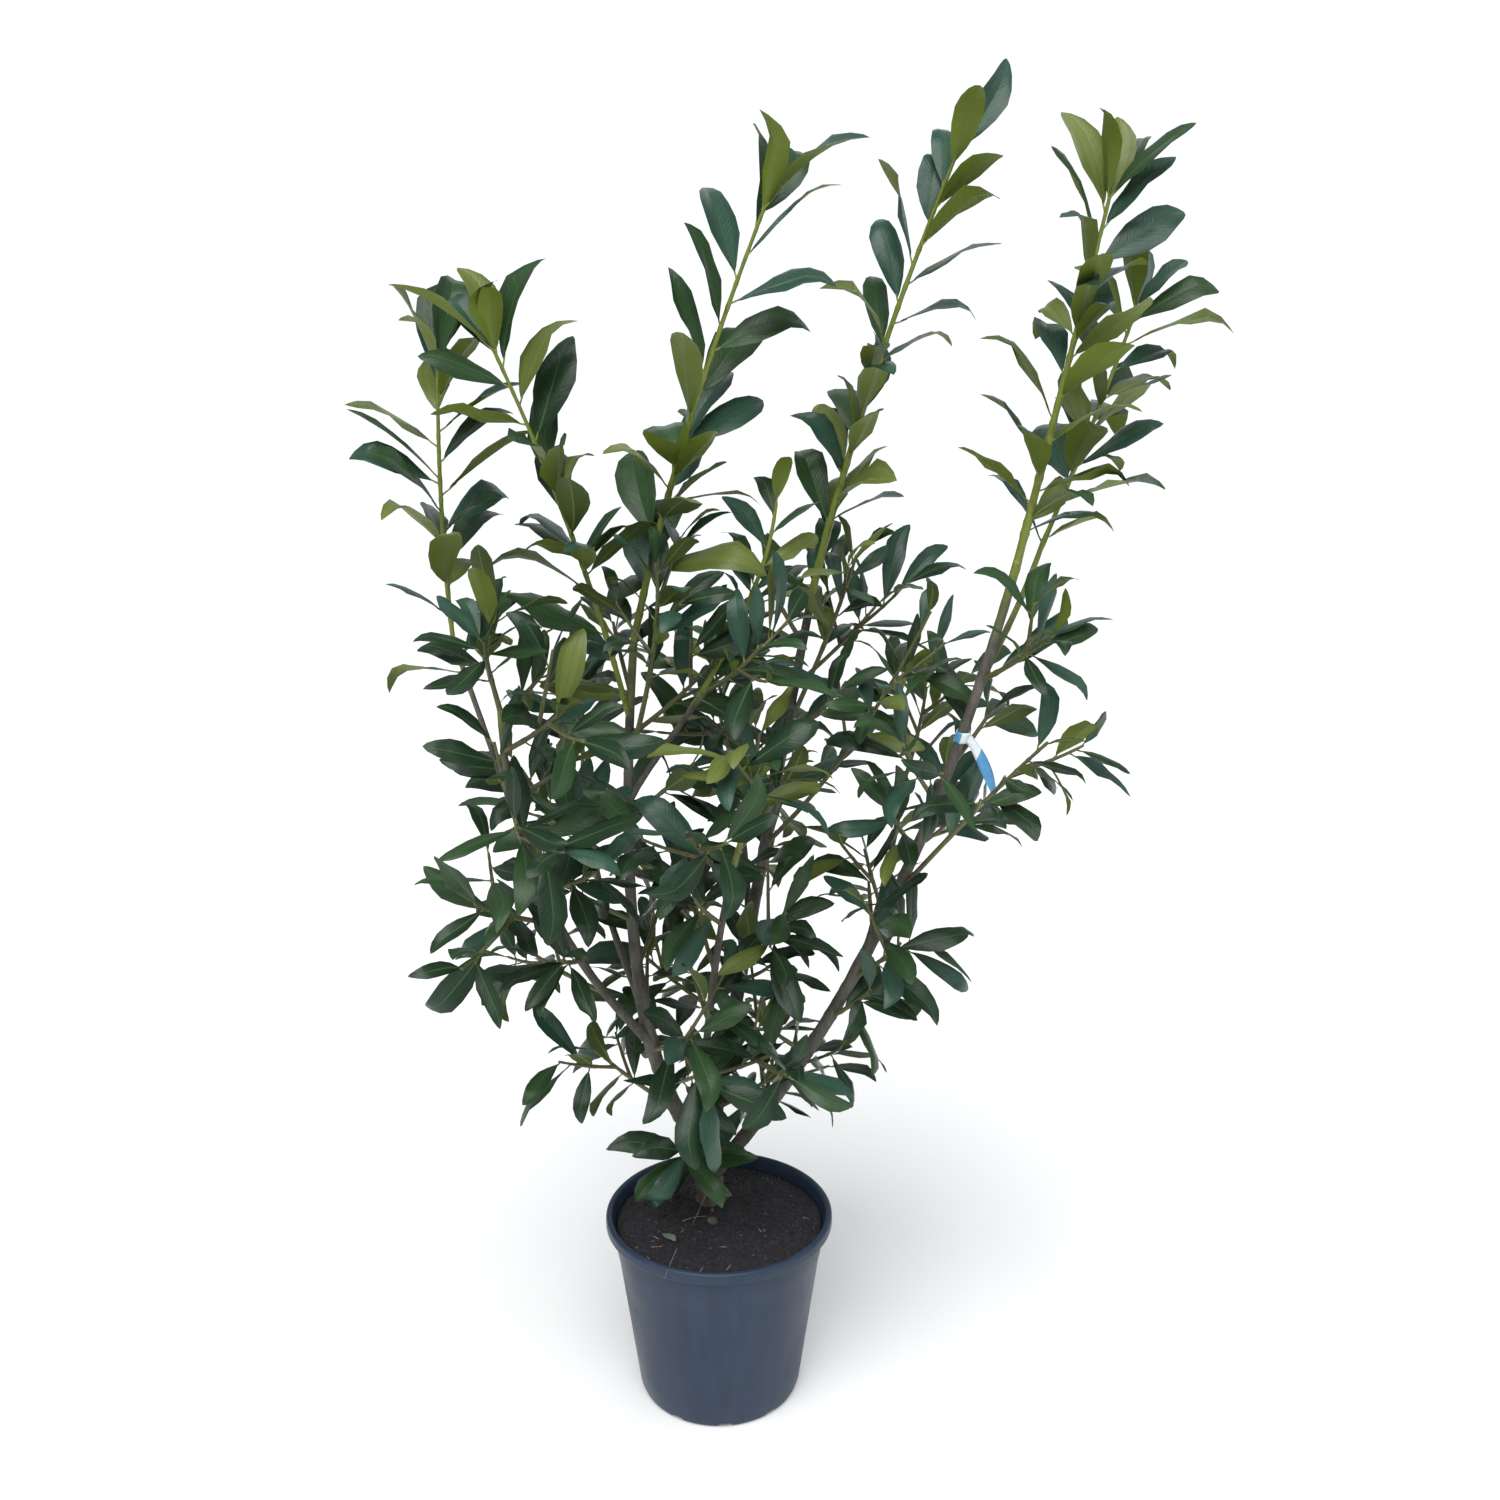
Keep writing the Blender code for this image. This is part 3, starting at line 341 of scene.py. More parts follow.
def tube_cage(twig, sides, first=0):
    """The points and faces of a coarse tube one passing gap round a twig, from its station `first` on."""
    points = []
    faces = []
    for step in range(first, len(twig.points)):
        after = twig.points[min(step + 1, len(twig.points) - 1)]
        before = twig.points[max(step - 1, 0)]
        tangent = (after - before).normalized()
        reach = twig.radii[step] + PASSING_GAP
        for side in range(sides):
            points.append(twig.points[step] + radial(tangent, 360 * side / sides) * reach)
    for ring in range(len(points) // sides - 1):
        for side in range(sides):
            low = ring * sides + side
            turned = ring * sides + (side + 1) % sides
            faces.append((low, turned, turned + sides, low + sides))
    return points, faces


def twig_cages(twig):
    """The cage round a whole twig, and the one that leaves out its first stretch."""
    return tube_cage(twig, TWIG_SIDES), tube_cage(twig, TWIG_SIDES, 1)


class Crown:
    """What has grown so far, kept by cells of space, to test whether a new twig or leaf stays clear of it."""

    CELL = 0.07

    def __init__(self):
        self.cells = {}

    def cells_round(self, points):
        lower = [math.floor(min(point[axis] for point in points) / self.CELL) for axis in range(3)]
        upper = [math.floor(max(point[axis] for point in points) / self.CELL) for axis in range(3)]
        for x in range(lower[0], upper[0] + 1):
            for y in range(lower[1], upper[1] + 1):
                for z in range(lower[2], upper[2] + 1):
                    yield x, y, z

    def take(self, owner, kin, whole, outer, given=False):
        """Keeps a piece if it is free or given, and says which. Towards its kin only its outer part counts."""
        whole_tree = BVHTree.FromPolygons(*whole)
        outer_tree = BVHTree.FromPolygons(*outer)
        tested = set()
        cells = list(self.cells_round(whole[0]))
        for cell in cells:
            for other in () if given else self.cells.get(cell, ()):
                if id(other) in tested:
                    continue
                tested.add(id(other))
                other_owner, other_whole, other_outer = other
                if other_owner in kin:
                    clash = outer_tree.overlap(other_outer)
                else:
                    clash = whole_tree.overlap(other_whole)
                if clash:
                    return False
        piece = (owner, whole_tree, outer_tree)
        for cell in cells:
            self.cells.setdefault(cell, []).append(piece)
        return True


def clear_of_pot(points):
    """Whether all points stay over the soil inside the rim, and over the rim elsewhere."""
    for point in points:
        inside = math.hypot(point.x, point.y) < RIM_RADIUS - 3 * WALL - RIM_CLEARANCE
        if point.z < (SOIL_LEVEL if inside else POT_HEIGHT) + POT_CLEARANCE:
            return False
    return True


def tag_seat(arcs):
    """Where the label's loop sits: its centre, the bough's direction there, the strip's side and its radius."""
    tangent = tangent_on(arcs[TAG_LIMB], TAG_WHERE)
    radius = limb_radius(limb_named(TAG_LIMB), TAG_WHERE - 0.02) + 2 * GAP + TAG_SLACK
    return point_on(arcs[TAG_LIMB], TAG_WHERE), tangent, radial(tangent, TAG_TURN), radius


def tag_point(arcs, share):
    """A point along the middle of the strip, from the loop to its loose end."""
    centre, _, side, radius = tag_seat(arcs)
    out = radius + TAG_THICKNESS / 2 + TAG_LENGTH * 0.55 * math.sin(share * 1.3)
    return centre + side * out - UP * (TAG_LENGTH * 0.80 * share**1.3)


def tag_room(arcs):
    """What has to stay free for the label: its loop, its strip and the line of sight to it."""
    centre, tangent, _, radius = tag_seat(arcs)
    middle = tag_point(arcs, 0.35)
    return (
        Twig([centre - tangent * TAG_WIDTH, centre + tangent * TAG_WIDTH], [radius + TAG_THICKNESS] * 2),
        Twig([tag_point(arcs, step / 4) for step in range(5)], [TAG_WIDTH * 0.7] * 5),
        Twig([middle + TAG_SIGHT * 0.01, middle + TAG_SIGHT * SIGHT_LENGTH], [SIGHT_RADIUS] * 2),
    )


def leader_arc(leader, arcs):
    parent = arcs[leader.parent]
    foot = point_on(parent, leader.where)
    if leader.where == 1:
        foot = foot - tangent_on(parent, 1) * 0.002
    return Arc(foot, Vector(leader.bend), Vector(leader.tip))


def rising_arc(foot, ahead, length, bend_share, lift):
    """An arc that sets out straight ahead and turns up after its bend."""
    bend = foot + ahead * (length * bend_share)
    return Arc(foot, bend, bend + (ahead + UP * lift).normalized() * (length * 0.5))


def side_arc(row, parent, step, swing, shift, rng):
    """The stem of a row's side mass: it leaves its limb outwards, and its end turns up."""
    share = row.start + (row.end - row.start) * step / max(row.count - 1, 1) + shift
    out = radial(tangent_on(parent, share), row.first_turn + row.step_turn * step + swing)
    out = Vector((out.x, out.y, 0)).normalized()
    rise = math.radians(row.rise + 22 * (share - 0.4))
    ahead = out * math.cos(rise) + UP * math.sin(rise)
    return rising_arc(point_on(parent, share), ahead, row.length * rng.uniform(0.9, 1.1), 0.6, 0.30)


def leader_mass(leader, arcs, seed):
    radius = LEADER_RADIUS
    if leader.where == 1:
        radius = min(limb_radius(limb_named(leader.parent), 1) * 0.98, LEADER_RADIUS_LIMIT)
    turn = SPIRAL if leader.twigs else TWO_RANKS
    return Mass(leader.name, leader.parent, leader_arc(leader, arcs), radius, leader.leaves, leader.leaf_length,
                leader.slope, turn, leader.first_turn, leader.twigs, leader.twig_length, not leader.twigs, seed)


def side_mass(name, row, arc, seed):
    first_turn = random.Random(seed).uniform(0, 360)
    return Mass(name, row.parent, arc, SIDE_RADIUS, SIDE_LEAVES, SIDE_LEAF_LENGTH, SIDE_SLOPE, SPIRAL,
                first_turn, SIDE_TWIGS, SIDE_TWIG_LENGTH, False, seed)


def seat_stem(name, row, parent, step, aside, slide, rng, crown):
    """A side stem's arc: it swings to both sides and slides down its limb until it is free, or is None."""
    for attempt in range(SEAT_TRIES):
        swing = aside + (attempt + 1) // 2 * SEAT_SWING * (1 if attempt % 2 else -1)
        arc = side_arc(row, parent, step, swing, -slide * (attempt % 3), rng)
        whole, outer = twig_cages(arc_tube(arc, SIDE_STATIONS, SIDE_RADIUS, STEM_TIP_RADIUS))
        if clear_of_pot(whole[0]) and crown.take(name, {name, row.parent}, whole, outer):
            return arc
    return None


def seat_masses(arcs, crown):
    """Every mass with its stem, from the leaders and the rows."""
    masses = [leader_mass(leader, arcs, GROWTH_SEED + index) for index, leader in enumerate(LEADERS)]
    for mass in masses:
        whole, outer = twig_cages(arc_tube(mass.arc, STEM_STATIONS, mass.radius, STEM_TIP_RADIUS))
        crown.take(mass.name, set(), whole, outer, given=True)
    for row in ROWS:
        rng = random.Random(GROWTH_SEED + len(masses))
        for step in range(row.count):
            name = f"{row.name}_{step + 1}"
            arc = seat_stem(name, row, arcs[row.parent], step, 0, SEAT_SLIDE, rng, crown)
            if arc:
                masses.append(side_mass(name, row, arc, GROWTH_SEED + len(masses)))
    return masses


def grow_twigs(mass, crown):
    """The arcs of a mass's side twigs: they leave its stem in a spiral and turn up at their ends."""
    twigs = []
    for step in range(mass.twigs):
        rng = random.Random(mass.seed * 1000 + 900 + step)
        share = TWIG_FROM + TWIG_SPAN * (step + 0.5) / mass.twigs
        tangent = tangent_on(mass.arc, share)
        for attempt in range(LEAF_TRIES):
            turn = mass.first_turn + 60 + SPIRAL * step + attempt * 40 + rng.uniform(-15, 15)
            slope = math.radians(rng.uniform(*TWIG_SLOPES))
            ahead = tangent * math.cos(slope) + radial(tangent, turn) * math.sin(slope)
            length = mass.twig_length * rng.uniform(0.85, 1.2)
            arc = rising_arc(point_on(mass.arc, share), ahead, length, 0.55, 0.25)
            whole, outer = twig_cages(arc_tube(arc, TWIG_STATIONS, TWIG_RADIUS, STEM_TIP_RADIUS))
            if clear_of_pot(whole[0]) and crown.take(mass.name, {mass.name}, whole, outer):
                twigs.append(arc)
                break
    return twigs


def within(value):
    """A value held between 0 and 1."""
    return max(0.0, min(1.0, value))


def leaf_at(arc, share, turn, length, slope, rng):
    """A leaf on an arc: its blade looks up and back at the stem, and droops more the lower it grows."""
    tangent = tangent_on(arc, share)
    out = radial(tangent, turn)
    low = within((DROOP_TOP - point_on(arc, share).z) / DROOP_DEPTH)
    along = tangent * math.cos(slope) + out * math.sin(slope) - UP * (LEAF_DROOP * low * math.sin(slope))
    along += Vector([rng.uniform(-1, 1) for _ in range(3)]) * LEAF_STRAY
    along.normalize()
    looks = LIGHT + tangent * 0.3 - out * 0.35
    face = looks - along * looks.dot(along)
    face = Matrix.Rotation(math.radians(rng.uniform(-LEAF_ROLL, LEAF_ROLL)), 3, along) @ face.normalized()
    width = length / LEAF_SLIMNESS * LEAF_CORNER_GAIN
    base = point_on(arc, share) - tangent * (LEAF_SINK * 4 * share**5) - along * LEAF_SINK
    return Leaf(base, along, face, length, width, rng.uniform(0.02, 0.07))


def in_reach(mass, leaf):
    """Whether a leaf's tip stays near enough to its mass's stem."""
    reach = (mass.twig_length if mass.twigs else 0) + mass.leaf_length * 1.05
    tip = leaf.base + leaf.along * leaf.length
    return min((tip - point_on(mass.arc, step / 8)).length for step in range(9)) <= reach


def take_leaf(mass, leaf, crown, foot=0.0, root=LEAF_ROOT):
    """Keeps a leaf in the crown if it clears the pot, other masses and, from its root on, its own mass."""
    whole, outer = leaf_corners(leaf, foot), leaf_corners(leaf, root)
    return clear_of_pot(whole) and crown.take(mass.name, {mass.name}, (whole, LEAF_FACES), (outer, LEAF_FACES))


def grow_leaves(mass, arc, count, first, first_seed, crown):
    """Leaves in a spiral along an arc, closer together and smaller towards its tip."""
    shrink, swing, sway = (0.05, 26, 10) if mass.bare else (0.25, 16, 8)
    kept = []
    for step in range(count):
        rng = random.Random(mass.seed * 1000 + first_seed + step)
        share = first + (1 - first) * ((step + 1) / count) ** 0.85
        end = share**5
        for attempt in range(LEAF_TRIES):
            wider = 1 + attempt / 2
            turn = mass.first_turn + mass.turn * step + rng.uniform(-swing, swing) * wider
            length = mass.leaf_length * rng.uniform(0.86, 1.12) * (1 - shrink * end) * (1 - 0.06 * attempt)
            slope = math.radians(mass.slope * (1 - 0.40 * end) + rng.uniform(-sway, sway) * wider)
            leaf = leaf_at(arc, share, turn, length, slope, rng)
            if in_reach(mass, leaf) and take_leaf(mass, leaf, crown):
                kept.append(leaf)
                break
    return kept


def mass_leaves(mass, twigs, crown):
    """The leaves on a mass's stem, and then those on its twigs."""
    first = BARE_SHOOT if mass.bare else BARE_STEM
    leaves = grow_leaves(mass, mass.arc, mass.leaves, first, 0, crown)
    for index, arc in enumerate(twigs):
        leaves += grow_leaves(mass, arc, TWIG_LEAVES, BARE_TWIG, 100 + 100 * index, crown)
    return leaves


def grow_crown():
    """The limbs' arcs and every mass with its twigs and leaves: first all stems, then twigs, then leaves."""
    arcs = limb_arcs()
    crown = Crown()
    for limb in LIMBS:
        cage = tube_cage(limb_tube(limb, arcs[limb.name]), LIMB_SIDES)
        crown.take(limb.name, set(), cage, cage, given=True)
    for twig in tag_room(arcs):
        cage = tube_cage(twig, TAG_SIDES)
        crown.take("stem_tag", set(), cage, cage, given=True)
    masses = seat_masses(arcs, crown)
    twigs = [grow_twigs(mass, crown) for mass in masses]
    grown = [(mass, own, mass_leaves(mass, own, crown)) for mass, own in zip(masses, twigs)]
    return arcs, grown, crown


# What the photo's camera saw the plant from.
CAMERA_PLACE = (0.041, -1.671, 1.278)
CAMERA_TILT = math.radians(76.6)
CAMERA_LENS = 33.6


def colour_setting(name, description, *default):
    return FloatVectorProperty(
        name=name, description=description, subtype="COLOR", default=default, min=0, max=1)


def number_setting(name, description, default, least=0.0, **more):
    return FloatProperty(name=name, description=description, default=default, min=least, **more)


class StageSettings(PropertyGroup):
    """The studio round the plant."""

    floor_colour: colour_setting("Floor", "Colour of the pale floor", 0.97, 0.97, 0.97)
    sky_strength: number_setting("Sky", "Strength of the even light from all sides", 0.30)
    sun_strength: number_setting("High light", "Strength of the broad light from above and in front", 3.35)
    window_power: number_setting("Window light", "Power of the soft lights at the sides", 16.0, unit="POWER")


class PotSettings(PropertyGroup):
    """The grower's container."""

    steps: IntProperty(name="Steps", description="Segments round the pot", default=120, min=24, max=240)
    colour: colour_setting("Plastic", "Slate blue-grey of the recycled plastic", 0.017, 0.031, 0.058)
    bloom: number_setting("Bloom", "How much pale dust lies on the plastic", 0.14, max=1, subtype="FACTOR")


class SoilSettings(PropertyGroup):
    """The compost in the pot and what lies on it."""

    colour: colour_setting("Compost", "Moist, nearly black compost", 0.0088, 0.0092, 0.0165)
    lump: number_setting("Lumps", "Height of the compost's lumps", 0.004, unit="LENGTH")
    crumbs: number_setting("Crumbs", "Crumbs on each square metre", 52000)
    seed: IntProperty(name="Seed", description="Seed of what is strewn", default=11, min=0)


class WoodSettings(PropertyGroup):
    """Stems, boughs and twigs."""

    sides: IntProperty(name="Sides", description="Sides of a bough", default=20, min=8, max=48)
    spacing: number_setting("Ring spacing", "Distance between a bough's rings", 0.005, 0.002, unit="LENGTH")
    relief: number_setting(
        "Relief", "Depth of the bark's relief, as a share of the bough's radius", 0.05,
        max=0.3, subtype="FACTOR")
    bark: colour_setting("Bark", "Grey-brown of the old bark", 0.108, 0.099, 0.080)
    shoot: colour_setting("Shoot", "Yellow-green of the young stems", 0.190, 0.235, 0.030)


class LeafSettings(PropertyGroup):
    """The leaves."""

    slimness: number_setting("Slimness", "Length over width", 3.25, 1)
    thickness: number_setting("Thickness", "Thickness of a blade", 0.00045, 0.0001, unit="LENGTH")
    stalk: number_setting("Stalk", "Share of the length that is stalk", 0.075, max=0.3, subtype="FACTOR")
    more: number_setting("More leaves", "Further leaves, as a share of those the solids have", 0.4)
    shorter: number_setting(
        "Shorter", "Length of a leaf against the solid one that stands for several", 0.92, 0.5, max=1)
    upper: colour_setting("Upper side", "Dark green of a grown leaf", 0.0125, 0.033, 0.014)
    under: colour_setting("Underside", "Olive green of a grown leaf's underside", 0.080, 0.115, 0.028)


class LabelSettings(PropertyGroup):
    """The plain label round one bough."""

    film: colour_setting("Film", "White film of the band", 0.86, 0.90, 0.93)
    tail: colour_setting("Tail", "Blue of the label's loose end", 0.10, 0.33, 0.62)


def rows_of(points):
    return np.array([tuple(point) for point in points], dtype=np.float64)


def link(obj):
    bpy.context.scene.collection.objects.link(obj)
    return obj


def new_mesh(name, points, faces):
    """A smooth mesh object from points and faces, with its faces as they are given."""
    mesh = bpy.data.meshes.new(name)
    mesh.from_pydata([tuple(point) for point in points], [], [tuple(face) for face in faces])
    mesh.update()
    mesh.shade_smooth()
    return link(bpy.data.objects.new(name, mesh))


def finish_piece(obj, slot, *replaced):
    """Ties a finished piece to the frame."""
    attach(obj, "root")
    if replaced:
        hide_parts(*replaced)


class Nodes:
    """Adds nodes to a tree in columns from left to right, and links what they are given."""

    def __init__(self, tree):
        self.tree = tree
        self.count = 0

    def fill(self, sockets, values):
        """Sets sockets: a plain value stays on its socket, an output is linked to it."""
        for key, value in values.items():
            if isinstance(value, bpy.types.NodeSocket):
                self.tree.links.new(value, sockets[key])
            else:
                sockets[key].default_value = value

    def add(self, kind, values=None, **settings):
        node = self.tree.nodes.new(kind)
        node.location = (200 * (self.count // 3), -260 * (self.count % 3))
        self.count += 1
        for key, value in settings.items():
            setattr(node, key, value)
        self.fill(node.inputs, values or {})
        return node

    def result(self, kind, values=None, **settings):
        """The first output of a new node."""
        return self.add(kind, values, **settings).outputs[0]

    def group(self, tree, **values):
        """The outputs of a node group."""
        return self.add("ShaderNodeGroup", values, node_tree=tree).outputs

    def math(self, operation, first, second=0.0):
        return self.result("ShaderNodeMath", {0: first, 1: second}, operation=operation)

    def mix(self, share, first, second):
        return self.add("ShaderNodeMix", {0: share, 6: first, 7: second}, data_type="RGBA").outputs[2]

    def ramp(self, value, low, high, first=0.0, last=1.0):
        return self.result("ShaderNodeMapRange", {0: value, 1: low, 2: high, 3: first, 4: last}, clamp=True)

    def stretched_place(self, stretch):
        """Object coordinates for a pattern that is drawn out along Z where the stretch is under one."""
        place = self.add("ShaderNodeTexCoord").outputs["Object"]
        squash = self.result("ShaderNodeCombineXYZ", {0: 1.0, 1: 1.0, 2: stretch})
        return self.result("ShaderNodeVectorMath", {0: place, 1: squash}, operation="MULTIPLY")

    def bump(self, height, strength, distance):
        return self.result("ShaderNodeBump", {"Strength": strength, "Distance": distance, "Height": height})


def rgba(colour):
    return (*colour, 1.0)


def new_group(name, kind, inputs, outputs):
    """An empty node group with named sockets: (name, type, default) in, (name, type) out."""
    tree = bpy.data.node_groups.new(name, kind)
    for title, sort, default in inputs:
        socket = tree.interface.new_socket(title, in_out="INPUT", socket_type=sort)
        if default is not None:
            socket.default_value = default
    for title, sort in outputs:
        tree.interface.new_socket(title, in_out="OUTPUT", socket_type=sort)
    nodes = Nodes(tree)
    given = nodes.add("NodeGroupInput").outputs
    return tree, nodes, given


def built_once(name):
    """Lets a function build the node tree of this name once, and finds the tree again afterwards."""
    def keep(build):
        return lambda: bpy.data.node_groups.get(name) or build(name)
    return keep


@built_once("mottle")
def mottle_group(name):
    """Two tones laid over each other in soft patches: for bark, soil, plastic and dust."""
    tree, nodes, given = new_group(
        name, "ShaderNodeTree",
        [("First", "NodeSocketColor", (0.5, 0.5, 0.5, 1)), ("Second", "NodeSocketColor", (0.2, 0.2, 0.2, 1)),
         ("Scale", "NodeSocketFloat", 40.0), ("Stretch", "NodeSocketFloat", 1.0),
         ("Low", "NodeSocketFloat", 0.4), ("High", "NodeSocketFloat", 0.6)],
        [("Color", "NodeSocketColor"), ("Mask", "NodeSocketFloat")])
    cloud = nodes.result("ShaderNodeTexNoise", {"Vector": nodes.stretched_place(given["Stretch"]),
                                                "Scale": given["Scale"], "Detail": 5.0, "Roughness": 0.6})
    mask = nodes.ramp(cloud, given["Low"], given["High"])
    nodes.add("NodeGroupOutput", {"Color": nodes.mix(mask, given["First"], given["Second"]), "Mask": mask})
    return tree


@built_once("grain")
def grain_group(name):
    """A fine uneven height, for the relief of bark, soil, plastic and leaf."""
    tree, nodes, given = new_group(
        name, "ShaderNodeTree",
        [("Fine", "NodeSocketFloat", 900.0), ("Coarse", "NodeSocketFloat", 120.0),
         ("Share", "NodeSocketFloat", 0.5), ("Stretch", "NodeSocketFloat", 1.0)],
        [("Height", "NodeSocketFloat")])
    place = nodes.stretched_place(given["Stretch"])
    fine, coarse = (
        nodes.result("ShaderNodeTexNoise", {"Vector": place, "Scale": given[size], "Detail": detail})
        for size, detail in (("Fine", 2.0), ("Coarse", 4.0))
    )
    height = nodes.result("ShaderNodeMix", {0: given["Share"], 2: coarse, 3: fine}, data_type="FLOAT")
    nodes.add("NodeGroupOutput", {"Height": height})
    return tree


@built_once("side_veins")
def vein_group(name):
    """The leaf's side veins, from its own map: they leave the midrib slanting forwards, about ten to a side."""
    tree, nodes, given = new_group(
        name, "ShaderNodeTree",
        [("Count", "NodeSocketFloat", 10.0), ("Slant", "NodeSocketFloat", 0.16)],
        [("Height", "NodeSocketFloat")])
    place = nodes.result("ShaderNodeUVMap", uv_map="blade")
    split = nodes.add("ShaderNodeSeparateXYZ", {0: place}).outputs
    out = nodes.math("ABSOLUTE", nodes.math("SUBTRACT", split[0], 0.5))
    bow = nodes.math("MULTIPLY", nodes.math("POWER", out, 0.8), given["Slant"])
    along = nodes.math("SUBTRACT", split[1], nodes.math("MULTIPLY", bow, 2.0))
    turns = nodes.math("MULTIPLY", along, given["Count"])
    wave = nodes.math("SINE", nodes.math("MULTIPLY", turns, 2 * math.pi))
    swell = nodes.ramp(wave, -1.0, 1.0)
    line = nodes.math("MULTIPLY", nodes.math("POWER", swell, 5.0), nodes.ramp(out, 0.46, 0.30))
    nodes.add("NodeGroupOutput", {"Height": nodes.math("SUBTRACT", nodes.math("MULTIPLY", swell, 0.45), line)})
    return tree


def new_material(name):
    """A material with its Principled shader, and the means to add nodes before it."""
    material = bpy.data.materials.new(name)
    material.use_nodes = True
    nodes = Nodes(material.node_tree)
    shader = material.node_tree.nodes["Principled BSDF"]
    shader.location = (1700, 0)
    material.node_tree.nodes["Material Output"].location = (2000, 0)
    return material, nodes, shader


def feed(nodes, shader, **values):
    """Sets the shader's sockets, which are written here with underscores for blanks."""
    nodes.fill(shader.inputs, {key.replace("_", " "): value for key, value in values.items()})


def two_tones(nodes, first, second, scale, low, high, stretch=1.0):
    """Soft patches of two colours, as a colour and a mask."""
    return nodes.group(mottle_group(), First=rgba(first), Second=rgba(second), Scale=scale, Low=low, High=high,
                       Stretch=stretch)


def patches(nodes, scale, low, high, stretch=1.0):
    """The mask alone of soft patches."""
    return nodes.group(mottle_group(), Scale=scale, Low=low, High=high, Stretch=stretch)["Mask"]


def grain(nodes, fine, coarse, share, stretch=1.0):
    return nodes.group(grain_group(), Fine=fine, Coarse=coarse, Share=share, Stretch=stretch)["Height"]


def toned(colour, *gains):
    """A colour made lighter by a gain for each of its three channels, or by one gain for all."""
    return tuple(value * gain for value, gain in zip(colour, gains if len(gains) == 3 else gains * 3))


def leaf_material(name, colour, gloss, waxy=0.0, veins=0.6):
    """A leaf's skin: one plain tint, a waxy gloss that mottling breaks up, and the veins' relief."""
    material, nodes, shader = new_material(name)
    relief = nodes.math("MULTIPLY", nodes.group(vein_group())["Height"], veins)
    fine = nodes.math("MULTIPLY", grain(nodes, 1400.0, 260.0, 0.35), 0.12)
    rough = nodes.ramp(patches(nodes, 55.0, 0.35, 0.65), 0.0, 1.0, gloss - 0.05, gloss + 0.09)
    feed(nodes, shader, Base_Color=rgba(colour), Roughness=rough, Coat_Weight=waxy * 0.4, Coat_Roughness=0.28,
         Specular_IOR_Level=0.27, Normal=nodes.bump(nodes.math("ADD", relief, fine), 0.42, 0.0007))
    return material


def wood_material(name, colour, darker, scale, gloss):
    """A young stem's skin: one tint broken by small darker flecks, with fine lengthwise grain."""
    material, nodes, shader = new_material(name)
    flecks = two_tones(nodes, colour, darker, scale, 0.52, 0.70, 0.4)
    relief = grain(nodes, 1500.0, 420.0, 0.5, 0.35)
    feed(nodes, shader, Base_Color=flecks["Color"], Normal=nodes.bump(relief, 0.45, 0.0006),
         Roughness=nodes.ramp(flecks["Mask"], 0, 1, gloss, gloss + 0.2))
    return material


# The tones that lie over the bark and the pot.
PALE_BARK = (0.200, 0.190, 0.165, 1)
PORE = (0.30, 0.25, 0.19, 1)
POT_DUST = (0.085, 0.105, 0.145, 1)
WATER_MARK = (0.26, 0.27, 0.28, 1)


def bark_material(wood):
    """Old grey-brown bark with cracks and pale pores, which turns green where the 'youth' attribute rises."""
    material, nodes, shader = new_material("laurel_bark")
    old = two_tones(nodes, wood.bark, toned(wood.bark, 0.42), 75.0, 0.38, 0.66, 0.30)["Color"]
    grey = patches(nodes, 21.0, 0.46, 0.68, 0.6)
    pale = nodes.mix(nodes.math("MULTIPLY", grey, 0.55), old, PALE_BARK)
    place = nodes.add("ShaderNodeTexCoord").outputs["Object"]
    spots = nodes.add("ShaderNodeTexVoronoi", {"Vector": place, "Scale": 165.0}).outputs["Distance"]
    pore = nodes.ramp(spots, 0.20, 0.10)
    dotted = nodes.mix(nodes.math("MULTIPLY", pore, 0.5), pale, PORE)
    green = two_tones(nodes, wood.shoot, toned(wood.shoot, 0.62), 120.0, 0.45, 0.68, 0.4)["Color"]
    youth = nodes.add("ShaderNodeAttribute", attribute_name="youth").outputs["Fac"]
    uneven = nodes.math("MULTIPLY", nodes.math("SUBTRACT", grey, 0.5), 0.30)
    turn = nodes.ramp(nodes.math("ADD", youth, uneven), 0.30, 0.75)
    relief = nodes.math("ADD", grain(nodes, 900.0, 210.0, 0.4, 0.28), nodes.math("MULTIPLY", pore, 0.35))
    feed(nodes, shader, Base_Color=nodes.mix(turn, dotted, green), Roughness=nodes.ramp(turn, 0, 1, 0.78, 0.42),
         Normal=nodes.bump(relief, 0.85, 0.0022))
    return material


def pot_material(pot):
    """Slate-coloured plastic: satin, faintly streaked down the wall, with pale dust and water marks."""
    material, nodes, shader = new_material("pot_plastic")
    streaks = two_tones(nodes, pot.colour, toned(pot.colour, 1.30), 42.0, 0.40, 0.70, 0.07)["Color"]
    cloud = patches(nodes, 9.0, 0.42, 0.72)
    speck = patches(nodes, 260.0, 0.69, 0.74)
    dusty = nodes.mix(nodes.math("MULTIPLY", cloud, pot.bloom), streaks, POT_DUST)
    marked = nodes.mix(nodes.math("MULTIPLY", speck, 0.35), dusty, WATER_MARK)
    feed(nodes, shader, Base_Color=marked, Roughness=nodes.ramp(cloud, 0, 1, 0.36, 0.56),
         Specular_IOR_Level=0.3, Normal=nodes.bump(grain(nodes, 1300.0, 60.0, 0.6), 0.18, 0.0008))
    return material


